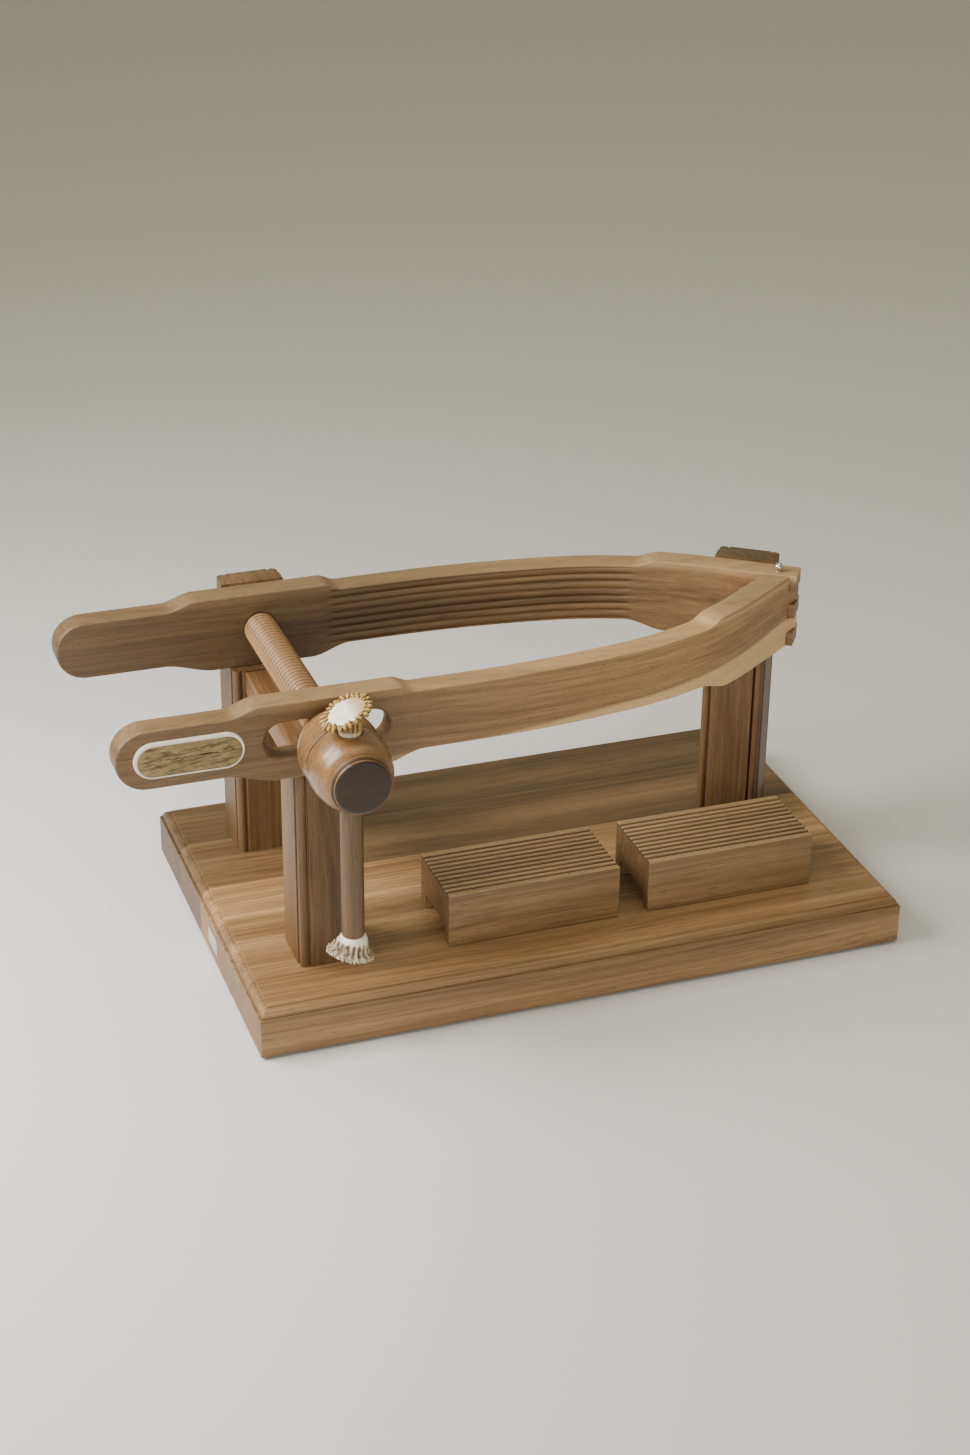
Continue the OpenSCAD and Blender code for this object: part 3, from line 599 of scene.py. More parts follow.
def jaw_section(x, low, high, slope_low, slope_high, end_gap):
    """Loop of (offset, height): offset -t is the gripping side. Edges are eased by a set distance."""
    t = JAW_T / 2
    r_in, r_out = 1.6, 1.1
    mid = (high - low) / 2
    loop = []

    def corner(o, z, sign_o, sign_z, r, slope, count=6, reverse=False):
        rz = min(r * hypot(1, slope), mid)
        pts = []
        for k in range(count):
            a = pi / 2 * k / (count - 1)
            pts.append((o - sign_o * r * (1 - sin(a)), z - sign_z * rz * (1 - cos(a))))
        return pts[::-1] if reverse else pts

    shrink = 1.0
    if end_gap < r_in:
        shrink = (t - r_in + sqrt(max(r_in ** 2 - (r_in - end_gap) ** 2, 0))) / t
    # over the top, down the outer face, round below, up the gripping face
    loop += corner(-t, high, -1, 1, r_in, slope_high, reverse=True)
    loop += corner(t, high, 1, 1, r_out, slope_high)
    top_z = loop[-1][1]
    bottom = corner(t, low, 1, -1, r_out, slope_low, reverse=True)
    face = [(t, top_z + (bottom[0][1] - top_z) * k / 10) for k in range(1, 10)]
    loop += face + bottom
    inner = corner(-t, low, -1, -1, r_in * 0.7, slope_low)
    loop += inner
    z0, z1 = inner[-1][1], loop[0][1]
    fade = ease((x - FLUTE_FROM) / 14) * ease((FLUTE_TO - x) / 16)
    n = 72
    for k in range(1, n):
        z = z0 + (z1 - z0) * k / n
        u = (z - (SEAT_Z + SLIM_RISE + FLUTE_PITCH * 0.2)) / FLUTE_PITCH
        deep = 0.0
        if 0 <= u <= FLUTES:
            v = 2 * (u % 1) - 1
            deep = 1 - sqrt(max(1 - 0.94 * v * v, 0))
        loop.append((-t + 2.9 * fade * deep, z))
    return [(o * shrink, z) for o, z in loop]


def jaw_mesh(rear):
    total = LEN_A + LEN_B + STRAIGHT + (REAR_TIP if rear else FRONT_TIP)
    end = REAR_END if rear else HANDLE_END
    start = end - ARC_START
    round_end = (0.5, 2, 4.5, 8, 12, 17, 23, 30, 38, 47, 57, 68, 80)  # degrees round the handle's end
    lead = [start + HANDLE_R * (1 - cos(radians(a))) for a in round_end]
    s_all = np.array(lead + list(np.arange(start + HANDLE_R, total, 2.6)) + [total - 0.8, total])
    xs = np.array([plan(s)[0] for s in s_all])
    high, low = steps(xs, TOP_LINE), steps(xs, LOW_LINE)
    near = xs < end + HANDLE_R
    bow = np.sqrt(np.maximum(HANDLE_R ** 2 - (end + HANDLE_R - xs[near]) ** 2, 0.04))
    high[near], low[near] = HANDLE_MID + bow, HANDLE_MID - bow
    if not rear:
        low = np.maximum(low, FRONT_LOW)
    slope_h, slope_l = np.gradient(high, s_all), np.gradient(low, s_all)
    sections = []
    for s, x, lo, hi, sl, sh in zip(s_all, xs, low, high, slope_l, slope_h):
        px, py, a = plan(s)
        gap = (s - start) if s - start < 20 else 99
        loop = jaw_section(x, lo, hi, sl, sh, gap)
        side = -1 if rear else 1
        sections.append([(px + o * sin(a), MID_Y + side * (py - o * cos(a)), z) for o, z in loop])
    return to_mesh(*tube(sections))


def slot_cutter():
    """Long rounded slot whose rims flare gently at both faces."""
    y_out, y_in = MID_Y - HALF_OUT, MID_Y - HALF_OUT + JAW_T
    hl = SLOT_LONG / 2 - SLOT_R
    loops = []
    flare = [(y_out - 2, 5.0), (y_out - 0.01, 2.6), (y_out + 0.7, 1.3), (y_out + 1.7, 0.4),
             (y_out + 3.0, 0.0), (y_in - 2.5, 0.0), (y_in - 1.2, 0.5), (y_in - 0.4, 1.3),
             (y_in + 0.01, 2.2), (y_in + 2, 4.0)]
    for y, grow in flare:
        r = SLOT_R + grow
        loop = []
        for c, a0 in ((hl, -90), (-hl, 90)):
            for k in range(25):
                a = radians(a0 + 7.5 * k)
                loop.append((POST_X + c + r * cos(a), y, SCREW_Z + r * sin(a)))
        loops.append(loop)
    return to_mesh(*tube(loops))


def finger_cut(k, gap, turn, low_extra=0, high_extra=0):
    """Takes out the k-th of the hinge's five finger heights."""
    h = (JAW_TOP - SEAT_Z) / 5
    lo = (-60, -JAW_T / 2 - gap, SEAT_Z + k * h - 0.2 - low_extra)
    hi = (60, 60, SEAT_Z + (k + 1) * h + 0.2 + high_extra)
    return block(lo, hi, turn)


def front_sap(tree, split):
    """Sapwood along the lower outer edge, widening towards the hinge."""
    where = tree.nodes["Texture Coordinate"].outputs["Object"]
    wobble = noise(tree, stretch(tree, where, (3, 3, 20)), detail=2.0)
    line = maths(tree, "MULTIPLY_ADD", split.outputs[0], 0.055, SEAT_Z * MM + 0.008)
    line = maths(tree, "MULTIPLY_ADD", wobble, 0.014, line)
    band = spread(tree, maths(tree, "SUBTRACT", line, split.outputs[2]), -0.0015, 0.0025)
    upper = spread(tree, split.outputs[2], (JAW_TOP - 9) * MM, (JAW_TOP - 2) * MM, 0.0, 0.55)
    return maths(tree, "MAXIMUM", band, upper)


def top_sap(tree, split):
    return spread(tree, split.outputs[2], (JAW_TOP - 10) * MM, (JAW_TOP - 3) * MM, 0.0, 0.6)


def jaw_shade(tree, split):
    """Darker towards the handle, and on top by the hinge."""
    handle = spread(tree, split.outputs[0], -0.30, 0.12, 0.56, 0.0)
    hinge = maths(tree, "MULTIPLY", spread(tree, split.outputs[0], 0.10, 0.19, 0.0, 0.45),
                  spread(tree, split.outputs[2], (JAW_TOP - 4) * MM, (JAW_TOP - 1.2) * MM))
    return maths(tree, "MAXIMUM", handle, hinge)


def rear_shade(tree, split):
    return spread(tree, split.outputs[0], -0.18, 0.16, 0.55, 0.0)


def jaws():
    hinge, angled = Matrix.Translation((HINGE_X, MID_Y, 0)), Matrix.Rotation(-JAW_ANGLE, 4, "Z")
    spin = hinge @ angled
    back = hinge @ Matrix.Scale(-1, 4, (0, 1, 0)) @ angled
    pin = [rod((PIN_X, MID_Y, 0), "z", SEAT_Z + 3, JAW_TOP + 2, PIN_BORE)]
    cuts = [finger_cut(k, REAR_CUT, back) for k in (1, 3)] + pin
    outer = MID_Y + HALF_OUT
    cuts.append(rod((POST_X, 0, SCREW_Z), "y", outer - JAW_T - 3, outer + 3, SCREW_BORE))
    rear = carve(jaw_mesh(True), cuts)
    mat = wood("rear_jaw_walnut", "x", 5.3, 1.06, sap_and_painted_light=top_sap, shade=rear_shade, flat=0.16)
    finish_piece("rear_jaw_wood", rear, mat, "stand", ("rear_jaw",), 32)
    cuts = [finger_cut(k, FRONT_CUT, spin, low, high) for k, low, high in ((0, 6, 0), (2, 0, 0), (4, 0, 6))]
    cuts.append(block((-60, JAW_T / 2 - 1, SEAT_Z - 6), (60, 60, JAW_TOP + 6), spin))
    cuts += [rod((PIN_X, MID_Y, 0), "z", SEAT_Z - 3, JAW_TOP + 2, PIN_BORE), slot_cutter()]
    lo, hi = box_mm("grip_inlay")
    cuts.append(stadium_block(lo[0] - 0.05, hi[0] + 0.05, lo[2] - 0.05, hi[2] + 0.05, lo[1] - 2, hi[1] + 0.1))
    front = carve(jaw_mesh(False), cuts)
    mat = wood("front_jaw_walnut", "x", 9.9, 1.50, sap_and_painted_light=front_sap, shade=jaw_shade, flat=0.14)
    finish_piece("front_jaw_wood", front, mat, "front_jaw", ("front_jaw",), 32)


def stadium(x0, x1, z0, z1, n=96):
    """Outline and matching middle-line points of a long rounded shape in x, z."""
    r = (z1 - z0) / 2
    zc = (z0 + z1) / 2
    out, core = [], []
    straight = (x1 - x0) - 2 * r
    around = 2 * straight + 2 * pi * r
    for k in range(n):
        d = around * k / n
        if d < straight:
            out.append((x0 + r + d, z0))
            core.append((x0 + r + d, zc))
        elif d < straight + pi * r:
            a = -pi / 2 + (d - straight) / r
            out.append((x1 - r + r * cos(a), zc + r * sin(a)))
            core.append((x1 - r, zc))
        elif d < 2 * straight + pi * r:
            e = d - straight - pi * r
            out.append((x1 - r - e, z1))
            core.append((x1 - r - e, zc))
        else:
            a = pi / 2 + (d - 2 * straight - pi * r) / r
            out.append((x0 + r + r * cos(a), zc + r * sin(a)))
            core.append((x0 + r, zc))
    return np.array(out), np.array(core)


def stadium_block(x0, x1, z0, z1, y0, y1):
    out, _ = stadium(x0, x1, z0, z1)
    return to_mesh(*tube([[(x, y, z) for x, z in out] for y in (y0, y1)]))


def smooth_noise(points, scale, seed, octaves=3):
    """Sum of random waves, a cheap smooth noise of about -1..1 at numpy points."""
    r = np.random.default_rng(seed)
    total, amp, norm = np.zeros(len(points)), 1.0, 0.0
    for _ in range(octaves):
        for _ in range(5):
            k = r.normal(size=points.shape[1]) * np.asarray(scale)
            total += amp * np.sin(points @ k + r.uniform(0, 2 * pi))
        norm += amp * 2.2
        amp *= 0.55
        scale = np.asarray(scale) * 2.0
    return total / norm


def inlay():
    """Slice of antler: a buffed rim, widest up and to the left, round a ribbed bark face."""
    lo, hi = box_mm("grip_inlay")
    out, core = stadium(lo[0], hi[0], lo[2], hi[2], 260)
    face_y = MID_Y - HALF_OUT
    away = (out - core) / np.linalg.norm(out - core, axis=1)[:, None]
    wide = 2.9 + 1.5 * (away @ np.array([-0.55, 0.83]))
    bark_edge = out - away * wide[:, None]
    verts, paint = [], []
    for q in np.linspace(0, 1, 30):
        p = core + (bark_edge - core) * q
        turned = np.c_[p[:, 0] * 0.985 + p[:, 1] * 0.17, p[:, 1] * 0.985 - p[:, 0] * 0.17]
        ripple, fine = smooth_noise(turned, (0.10, 1.7), 3, 3), smooth_noise(turned, (0.30, 3.2), 5, 2)
        edge = 1 - q ** 6
        high = 0.9 + (0.8 + 0.75 * ripple + 0.3 * fine) * edge
        # painted shade in the low parts of the bark's ripple
        pit = np.clip(-ripple * 0.75 - fine * 0.55 + 0.02, 0, 1)
        verts += [(x, face_y - h, z) for (x, z), h in zip(p, high)]
        paint += [(0, d, 0, 1) for d in pit]
    # across the buffed rim: share of its width, height off the jaw's face
    rim = [(0.02, 0.95), (0.10, 1.25), (0.25, 1.55), (0.45, 1.7), (0.62, 1.65), (0.78, 1.35), (0.9, 0.85),
           (0.97, 0.35), (1.0, -0.2)]
    for q, h in rim:
        p = bark_edge + (out - bark_edge) * q
        verts += [(x, face_y - h, z) for x, z in p]
        # green 0.2 gives the rim's inner edge, where it meets the bark, a little painted shade
        paint += [(min(1, q * 10), 0.2, 0, 1)] * len(p)
    n = len(out)
    verts += [(x, hi[1], z) for x, z in out]
    paint += [(1, 0, 0, 1)] * n
    faces = closed_faces(len(verts) // n, n)
    mat = antler("inlay_antler", (0.27, 0.19, 0.078), (0.055, 0.033, 0.010), grain=(150, 500, 1900))
    make("grip_inlay_antler", verts, faces, mat, "front_jaw", "antler_inlay", ("grip_inlay",), 40, paint)


# ---------------------------------------------------------------- screw, collar, head


def arc_profile(points, n=8):
    """Smooth curve through (radius, position) points."""
    p = np.array(points, dtype=float)
    p = np.vstack([2 * p[0] - p[1], p, 2 * p[-1] - p[-2]])
    out = []
    for i in range(1, len(p) - 2):
        for k in range(n):
            t = k / n
            a, b, c, d = p[i - 1], p[i], p[i + 1], p[i + 2]
            square, cube = 2 * a - 5 * b + 4 * c - d, 3 * b - a - 3 * c + d
            out.append(0.5 * (2 * b + (c - a) * t + square * t ** 2 + cube * t ** 3))
    out.append(p[-2])
    return [tuple(q) for q in out]


def thread_shade(tree, split):
    """Painted shade in the bottom of the thread."""
    x = maths(tree, "SUBTRACT", split.outputs[0], POST_X * MM)
    z = maths(tree, "SUBTRACT", split.outputs[2], SCREW_Z * MM)
    r = maths(tree, "SQRT", maths(tree, "ADD", maths(tree, "MULTIPLY", x, x), maths(tree, "MULTIPLY", z, z)))
    return spread(tree, r, (SCREW_R - THREAD_DEEP + 0.2) * MM, (SCREW_R - 0.55) * MM, 0.62, 0.0)


def seam_shade(tree, split):
    """A thin line of painted shade where the collar meets the head."""
    off = maths(tree, "ABSOLUTE", maths(tree, "SUBTRACT", split.outputs[1], (COLLAR_FRONT - 0.2) * MM))
    return spread(tree, off, 0.7 * MM, 1.2 * MM, 0.8, 0.0)


def cap_shade(tree, split):
    """The flat end of the cap is darker than its sides; the two turned grooves behind it get painted shade.
    """
    y = split.outputs[1]
    out = spread(tree, y, (CAP_FRONT + 0.35) * MM, (CAP_FRONT + 0.9) * MM, 0.90, 0.0)
    for low, high, dark in ((2.3, 3.3, 0.65), (5.7, 7.4, 0.80)):
        rise = spread(tree, y, (CAP_FRONT + low - 0.3) * MM, (CAP_FRONT + low) * MM, 0.0, dark)
        fall = spread(tree, y, (CAP_FRONT + high) * MM, (CAP_FRONT + high + 0.8) * MM, 1.0, 0.0)
        out = maths(tree, "MAXIMUM", out, maths(tree, "MULTIPLY", rise, fall))
    return out


def screw():
    start, root = MID_Y - HALF_OUT + 3, SCREW_R - THREAD_DEEP
    per = 10
    n = 60
    rows = int((SCREW_BACK - start) / THREAD_PITCH * per)
    ys = np.linspace(start, SCREW_BACK, rows + 1)
    verts = []
    shank = root - 0.5
    lead = [(shank, HEAD_BACK - 0.1), (shank, start - 0.6)]
    for r, y in lead:
        verts += [(POST_X + r * cos(2 * pi * j / n), y, SCREW_Z + r * sin(2 * pi * j / n)) for j in range(n)]
    for y in ys:
        fade = ease((y - start) / 8) * ease((SCREW_BACK - y) / 7)
        for j in range(n):
            a = 2 * pi * j / n
            u = ((y - start) / THREAD_PITCH + a / (2 * pi)) % 1
            v = abs(2 * u - 1)
            crest = np.clip((v - 0.12) / 0.66, 0, 1)
            crest = ease(crest) * 0.75 + crest * 0.25
            r = root + 0.1 + (THREAD_DEEP - 0.1) * crest * fade - (1 - ease((SCREW_BACK - y) / 3)) * 1.8
            verts.append((POST_X + r * cos(a), y, SCREW_Z + r * sin(a)))
    faces = closed_faces(rows + 3, n)
    mat = wood("screw_wood", "y", 14.2, 1.36, 0.7, 0.46, warm=1.03, shade=thread_shade)
    make("clamp_screw_wood", verts, faces, mat, "screw", "walnut_screw", ("clamp_screw",), 50)


def collar_and_head():
    axis = (POST_X, 0, SCREW_Z)
    hr, shank = HEAD_R, SCREW_R - THREAD_DEEP - 0.1
    back_angle = asin((shank + 0.6) / hr)
    ball = [(hr * cos(a), BALL_Y + hr * sin(a)) for a in np.linspace(pi / 2 - back_angle, 0, 26)]
    front = arc_profile([(hr, BALL_Y), (hr - 0.05, BALL_Y - 6), (hr - 0.45, BALL_Y - 13),
                         (hr - 0.9, COLLAR_FRONT + 1.4)], 5)[1:]
    lip = [(hr - 1.1, COLLAR_FRONT + 0.5), (hr - 1.8, COLLAR_FRONT)]
    prof = ball + front + lip + [(shank, COLLAR_FRONT), (shank, ball[0][1] - 0.8)]
    mat = wood("collar_walnut", "x", 23.5, 0.92, 0.8, 0.27, figure=0.7, warm=1.12, coat=0.25,
               shade=seam_shade)
    make("thrust_collar_wood", *lathe(prof, axis, "y", 128, ring=True), mat, "thrust_collar",
         "walnut_turned", ("thrust_collar",), 34)
    mid = (HEAD_FRONT + HEAD_BACK) / 2
    prof = [(0.5, HEAD_BACK), (hr - 1.8, HEAD_BACK), (hr - 1.1, HEAD_BACK - 0.5)]
    prof += arc_profile([(hr - 0.7, HEAD_BACK - 1.6), (hr + 0.05, HEAD_BACK - 6), (hr - 0.1, mid),
                         (hr - 1.1, HEAD_FRONT + 6), (hr - 2.45, HEAD_FRONT)], 6)
    prof += [(0.5, HEAD_FRONT)]
    bore = rod((POST_X, BAR_Y, 0), "z", SCREW_Z - 60, SCREW_Z + 60, BAR_R + 0.15, 64)
    seat_deep, seat_wider = 3.5, 1.15
    neck_seat = rod((POST_X, BAR_Y, 0), "z", SCREW_Z + hr - seat_deep, SCREW_Z + 60, BAR_R + seat_wider, 64)
    me = carve(to_mesh(*lathe(prof, axis, "y", 128)), [bore, neck_seat])
    mat = wood("head_walnut", "x", 27.1, 0.90, 0.8, 0.27, figure=0.7, warm=1.12, coat=0.25, shade=seam_shade)
    finish_piece("screw_head_wood", me, mat, "screw", ("screw_head",), 34)
    f, c = HEAD_FRONT - 0.03, CAP_FRONT
    prof = [(0.5, f), (hr - 2.5, f)]
    prof += arc_profile([(hr - 2.5, f - 0.02), (hr - 3.7, f - 4.0), (hr - 5.6, f - 7.6),
                         (hr - 7.8, f - 10.2), (hr - 9.6, c + 8.0)], 7)
    prof += [(hr - 11.0, c + 6.8), (hr - 10.9, c + 6.0), (hr - 8.6, c + 5.5)]
    prof += arc_profile([(hr - 8.0, c + 5.0), (hr - 8.0, c + 4.2), (hr - 8.6, c + 3.6)], 4)
    prof += [(hr - 10.6, c + 3.1), (hr - 10.8, c + 2.4)]
    prof += arc_profile([(hr - 10.6, c + 1.6), (hr - 11.0, c + 0.6), (hr - 12.0, c + 0.1)],
                        4) + [(hr - 13.4, c), (0.5, c + 0.2)]
    mat = wood("cap_walnut", "x", 31.9, 0.90, 0.8, 0.30, figure=0.7, warm=1.12, coat=0.12, shade=cap_shade)
    make("head_cap_wood", *lathe(prof, axis, "y", 128), mat, "screw", "walnut_turned", ("head_cap",), 34)


def bar():
    prof = [(BAR_R - 1.2, BAR_LOW), (BAR_R - 0.3, BAR_LOW + 0.4), (BAR_R, BAR_LOW + 1.4),
            (BAR_R, BAR_TOP - 1.4), (BAR_R - 0.3, BAR_TOP - 0.4), (BAR_R - 1.2, BAR_TOP)]
    mat = wood("bar_walnut", "z", 37.7, 0.46, 0.9, 0.40, figure=1.2, warm=1.08, coat=0.05)
    make("slide_bar_wood", *lathe(prof, (POST_X, BAR_Y, 0), "z", 72), mat, "handle_bar", "walnut_turned",
         ("slide_bar",), 34)


# ---------------------------------------------------------------- antler burrs


def pearl(centre, size, turn, seed):
    """A small lumpy bead, longest away from the burr's middle."""
    bm = bmesh.new()
    bmesh.ops.create_icosphere(bm, subdivisions=2, radius=1.0)
    p = np.array([v.co[:] for v in bm.verts])
    faces = [[v.index for v in f.verts] for f in bm.faces]
    bm.free()
    p *= 1 + 0.14 * smooth_noise(p, (1.8, 1.8, 1.8), seed, 2)[:, None]
    p = p * np.asarray(size)
    c, q = cos(turn), sin(turn)
    return centre + np.c_[p[:, 0] * c - p[:, 1] * q, p[:, 0] * q + p[:, 1] * c, p[:, 2]], faces


def burr(name, node, z0, up, neck, profile, tilt, ribs, beads, mat, seed, buff=0.0):
    """Antler burr on the bar: ribbed neck, flare, ragged rim set with beads, and a buffed face.

    profile rows are (radius, height, rib depth, raggedness, polish, share of the tilt, darkness of painted
    shade);
    beads rows are (count, radius, height, sizes outwards, around and up, darkness of painted shade). buff
    dulls the face towards +x.
    """
    r = np.random.default_rng(seed)
    n = 192
    theta = np.linspace(0, 2 * pi, n, endpoint=False)
    circle = np.c_[np.cos(theta), np.sin(theta)]
    wander, rough = smooth_noise(circle, (2.0, 2.0), seed, 3), smooth_noise(circle, (6.0, 6.0), seed + 1, 3)
    rib = np.sin(ribs * theta + 1.6 * wander)
    rib = np.sign(rib) * np.abs(rib) ** 0.7
    bend = np.array(Matrix.Rotation(radians(tilt[0]), 3, "X") @ Matrix.Rotation(radians(tilt[1]), 3, "Y"))
    pivot = np.array([0, 0, neck])
    verts, paint = [], []
    for radius, h, rib_amp, rag_amp, polish, lean, dark in profile:
        rad = radius + rib_amp * rib + rag_amp * (0.65 * rough + 0.55 * wander)
        p = np.c_[rad * circle[:, 0], rad * circle[:, 1], h + rag_amp * 0.6 * rough]
        verts += list(p * (1 - lean) + ((p - pivot) @ bend.T + pivot) * lean)
        # painted shade in the rib valleys, and by the row's darkness on the neck and under the flaring rim
        pit = np.clip(dark + rib_amp * (0.25 - 0.75 * rib), 0, 1) * (1 - polish)
        worn = polish * (1 - buff * np.clip((rad * circle[:, 0] / 16 - 0.05 + 0.12 * rough) / 0.45, 0, 1))
        paint += [(w, d, 0, 1) for w, d in zip(worn, pit)]
    faces = closed_faces(len(profile), n)
    for count, radius, height, sizes, dark in beads:
        for k in range(count):
            a = 2 * pi * (k + r.uniform(-0.2, 0.2)) / count
            swell = r.uniform(0.8, 1.22)
            out = radius + r.uniform(-0.5, 0.5)
            c = np.array([out * cos(a), out * sin(a), height + r.uniform(-0.5, 0.5)])
            pts, fs = pearl(c, np.asarray(sizes) * swell, a, int(r.integers(1, 9999)))
            start = len(verts)
            verts += list((pts - pivot) @ bend.T + pivot)
            side = np.abs((pts[:, 1] - c[1]) * cos(a) - (pts[:, 0] - c[0]) * sin(a)) / sizes[1]
            # painted shade on each bead's sides, where beads meet, and on its half towards the neck
            pit = np.clip(dark + 0.75 * side ** 2 - 0.35 * (pts[:, 2] - c[2]) / sizes[2], 0, 1)
            paint += [(0.0, d, 0, 1) for d in pit]
            faces += [[start + i for i in f] for f in fs]
    verts = np.array(verts)
    verts[:, 2] *= up
    verts += np.array([POST_X, BAR_Y, z0])
    make(name, verts, faces, mat, "handle_bar", "antler_crown", (node,), 60, paint)


UPPER_TILT, LOWER_TILT = (2, -26), (4, -13)  # degrees about x and y


def burrs():
    golden = antler("burr_gold_antler", (0.42, 0.25, 0.068), (0.036, 0.018, 0.005), (0.86, 0.80, 0.68),
                    (260, 260, 260))
    cream = antler("burr_cream_antler", (0.52, 0.41, 0.265), (0.095, 0.066, 0.038), (0.82, 0.77, 0.67),
                   (260, 260, 160))
    upper = [(8.4, 0.0, 0, 0, 0.8, 0, 0), (9.2, 0.4, 0.1, 0, 0.7, 0, 0), (9.4, 2.0, 0.2, 0, 0.6, 0, 0),
             (9.5, 4.2, 0.3, 0.1, 0.45, 0, 0), (9.2, 5.6, 0.8, 0.2, 0, 0, 0.1),
             (8.9, 8.5, 1.0, 0.2, 0, 0, 0.15), (8.9, 11.5, 1.0, 0.2, 0, 0.1, 0.2),
             (9.0, 13.6, 1.0, 0.3, 0, 0.4, 0.3), (9.8, 15.2, 0.9, 0.3, 0, 0.75, 0.4),
             (12.0, 16.4, 0.8, 0.4, 0, 1, 0.55), (14.8, 17.4, 0.6, 0.5, 0, 1, 0.6),
             (17.4, 18.3, 0.4, 0.6, 0, 1, 0.5), (19.5, 19.3, 0.2, 0.7, 0, 1, 0.45),
             (20.4, 20.5, 0.1, 0.7, 0, 1, 0.45), (19.5, 21.7, 0.1, 0.6, 0, 1, 0.6),
             (17.9, 22.0, 0, 0.5, 0, 1, 0.6), (16.5, 21.8, 0, 0.45, 0.35, 1, 0.2),
             (15.7, 21.9, 0, 0.4, 0.85, 1, 0), (14.3, 22.4, 0, 0.35, 1, 1, 0),
             (10.4, 22.9, 0, 0.2, 1, 1, 0), (5.0, 23.1, 0, 0.1, 1, 1, 0), (0.4, 23.2, 0, 0, 1, 1, 0)]
    burr("crown_upper_antler", "crown_upper", BAR_TOP, 1, 14.2, upper, UPPER_TILT, 13,
         [(26, 20.4, 20.8, (2.8, 1.9, 2.3), 0.22), (23, 17.6, 22.3, (1.9, 1.4, 1.3), 0.3)], golden, 101,
         buff=0.8)
    lower = [(8.8, 0.0, 0, 0, 1, 0, 0), (10.1, 0.3, 0, 0, 1, 0, 0), (11.0, 1.6, 0, 0.1, 1, 0, 0),
             (11.9, 3.6, 0.1, 0.2, 1, 0.2, 0), (12.4, 5.2, 0.3, 0.3, 0.8, 0.5, 0.1),
             (12.5, 6.6, 0.8, 0.4, 0.1, 0.8, 0.25), (12.6, 8.8, 1.1, 0.5, 0, 1, 0.35),
             (12.9, 11.0, 1.2, 0.6, 0, 1, 0.4), (13.6, 13.0, 1.1, 0.7, 0, 1, 0.4),
             (15.2, 14.6, 0.9, 0.9, 0, 1, 0.3), (17.4, 15.7, 0.7, 1.1, 0, 1, 0.12),
             (19.2, 16.4, 0.5, 1.3, 0.1, 1, 0), (19.9, 17.3, 0.4, 1.3, 0.15, 1, 0),
             (19.0, 18.2, 0.3, 1.1, 0.1, 1, 0), (17.0, 18.4, 0, 0.6, 0.8, 1, 0),
             (12.0, 18.3, 0, 0.3, 1, 1, 0), (6.0, 18.3, 0, 0.1, 1, 1, 0), (0.4, 18.3, 0, 0, 1, 1, 0)]
    burr("crown_lower_antler", "crown_lower", BAR_LOW, -1, 3.0, lower, LOWER_TILT, 15,
         [(34, 18.9, 17.0, (1.6, 1.25, 1.3), -0.1), (9, 14.9, 11.5, (1.3, 1.3, 2.4), 0.0)], cream, 202)


# ---------------------------------------------------------------- hinge pin, blocks, small parts


def hinge_pin():
    lo, hi = box_mm("hinge_pin")
    ball_r = (hi[0] - lo[0]) / 2
    zc = hi[2] - ball_r
    prof = [(2.3, lo[2]), (3.0, lo[2] + 0.9), (3.0, JAW_TOP + 0.2), (2.9, zc - ball_r * 0.72)]
    prof += [(ball_r * sin(a), zc - ball_r * cos(a)) for a in np.linspace(radians(46), radians(179), 22)]
    mat, tree, bsdf = material("pin_bright_steel")
    where = tree.nodes.new("ShaderNodeTexCoord").outputs["Object"]
    cloud = noise(tree, where, scale=900, detail=2.0)
    tree.links.new(mix(tree, cloud, (0.62, 0.61, 0.59), (0.74, 0.73, 0.71)), bsdf.inputs["Base Color"])
    bsdf.inputs["Metallic"].default_value = 1.0
    bsdf.inputs["Roughness"].default_value = 0.16
    make("hinge_pin_steel", *lathe(prof, (PIN_X, MID_Y, 0), "z", 40), mat, "hinge_pin", "pin_steel",
         ("hinge_pin",), 50)


def block_outline(w, h):
    """Cross-section of a rest block as (y, z, inward y, inward z): ridged top and rounded channel."""
    channel, leg, ridges = 16.0, 11.0, 11
    pitch = (w - 1.6) / ridges
    y0, r, rc, inner = -w / 2 + 0.8, 1.6, 5.0, w / 2 - leg
    pts = [(-w / 2, h - 1.2, 1, 0), (-w / 2 + 0.25, h - 0.4, 0.6, -0.6)]
    for i in range(ridges):
        for k in range(12):
            u = k / 12
            v = abs(2 * u - 1)
            if (i == 0 and u < 0.5) or (i == ridges - 1 and u > 0.5):
                v = 0.0
            pts.append((y0 + (i + u) * pitch, h - 0.2 * v * v - 2.3 * ease((v - 0.30) / 0.66), 0, -1))
    pts += [(w / 2 - 0.25, h - 0.4, -0.6, -0.6), (w / 2, h - 1.2, -1, 0), (w / 2, r, -1, 0)]
    turn = [(cos(a), sin(a)) for a in np.linspace(0.3, pi / 2, 5)]
    pts += [(w / 2 - r * (1 - c), r * (1 - q), -c, q) for c, q in turn]
    pts += [(inner + 0.8, 0, 0.3, 1), (inner, 0.8, 1, 0.3)]
    arc = [(cos(a), sin(a)) for a in np.linspace(0, pi / 2, 7)]
    pts += [(inner - rc * (1 - c), channel - rc + rc * q, c, q) for c, q in arc]
    pts += [(-inner + rc * (1 - c), channel - rc + rc * q, -c, q) for c, q in arc[::-1]]
    pts += [(-inner, 0.8, -1, 0.3), (-inner - 0.8, 0, -0.3, 1)]
    pts += [(-w / 2 + r * (1 - c), r * (1 - q), c, q) for c, q in turn[::-1]]
    return np.array(pts + [(-w / 2, r, 1, 0)])


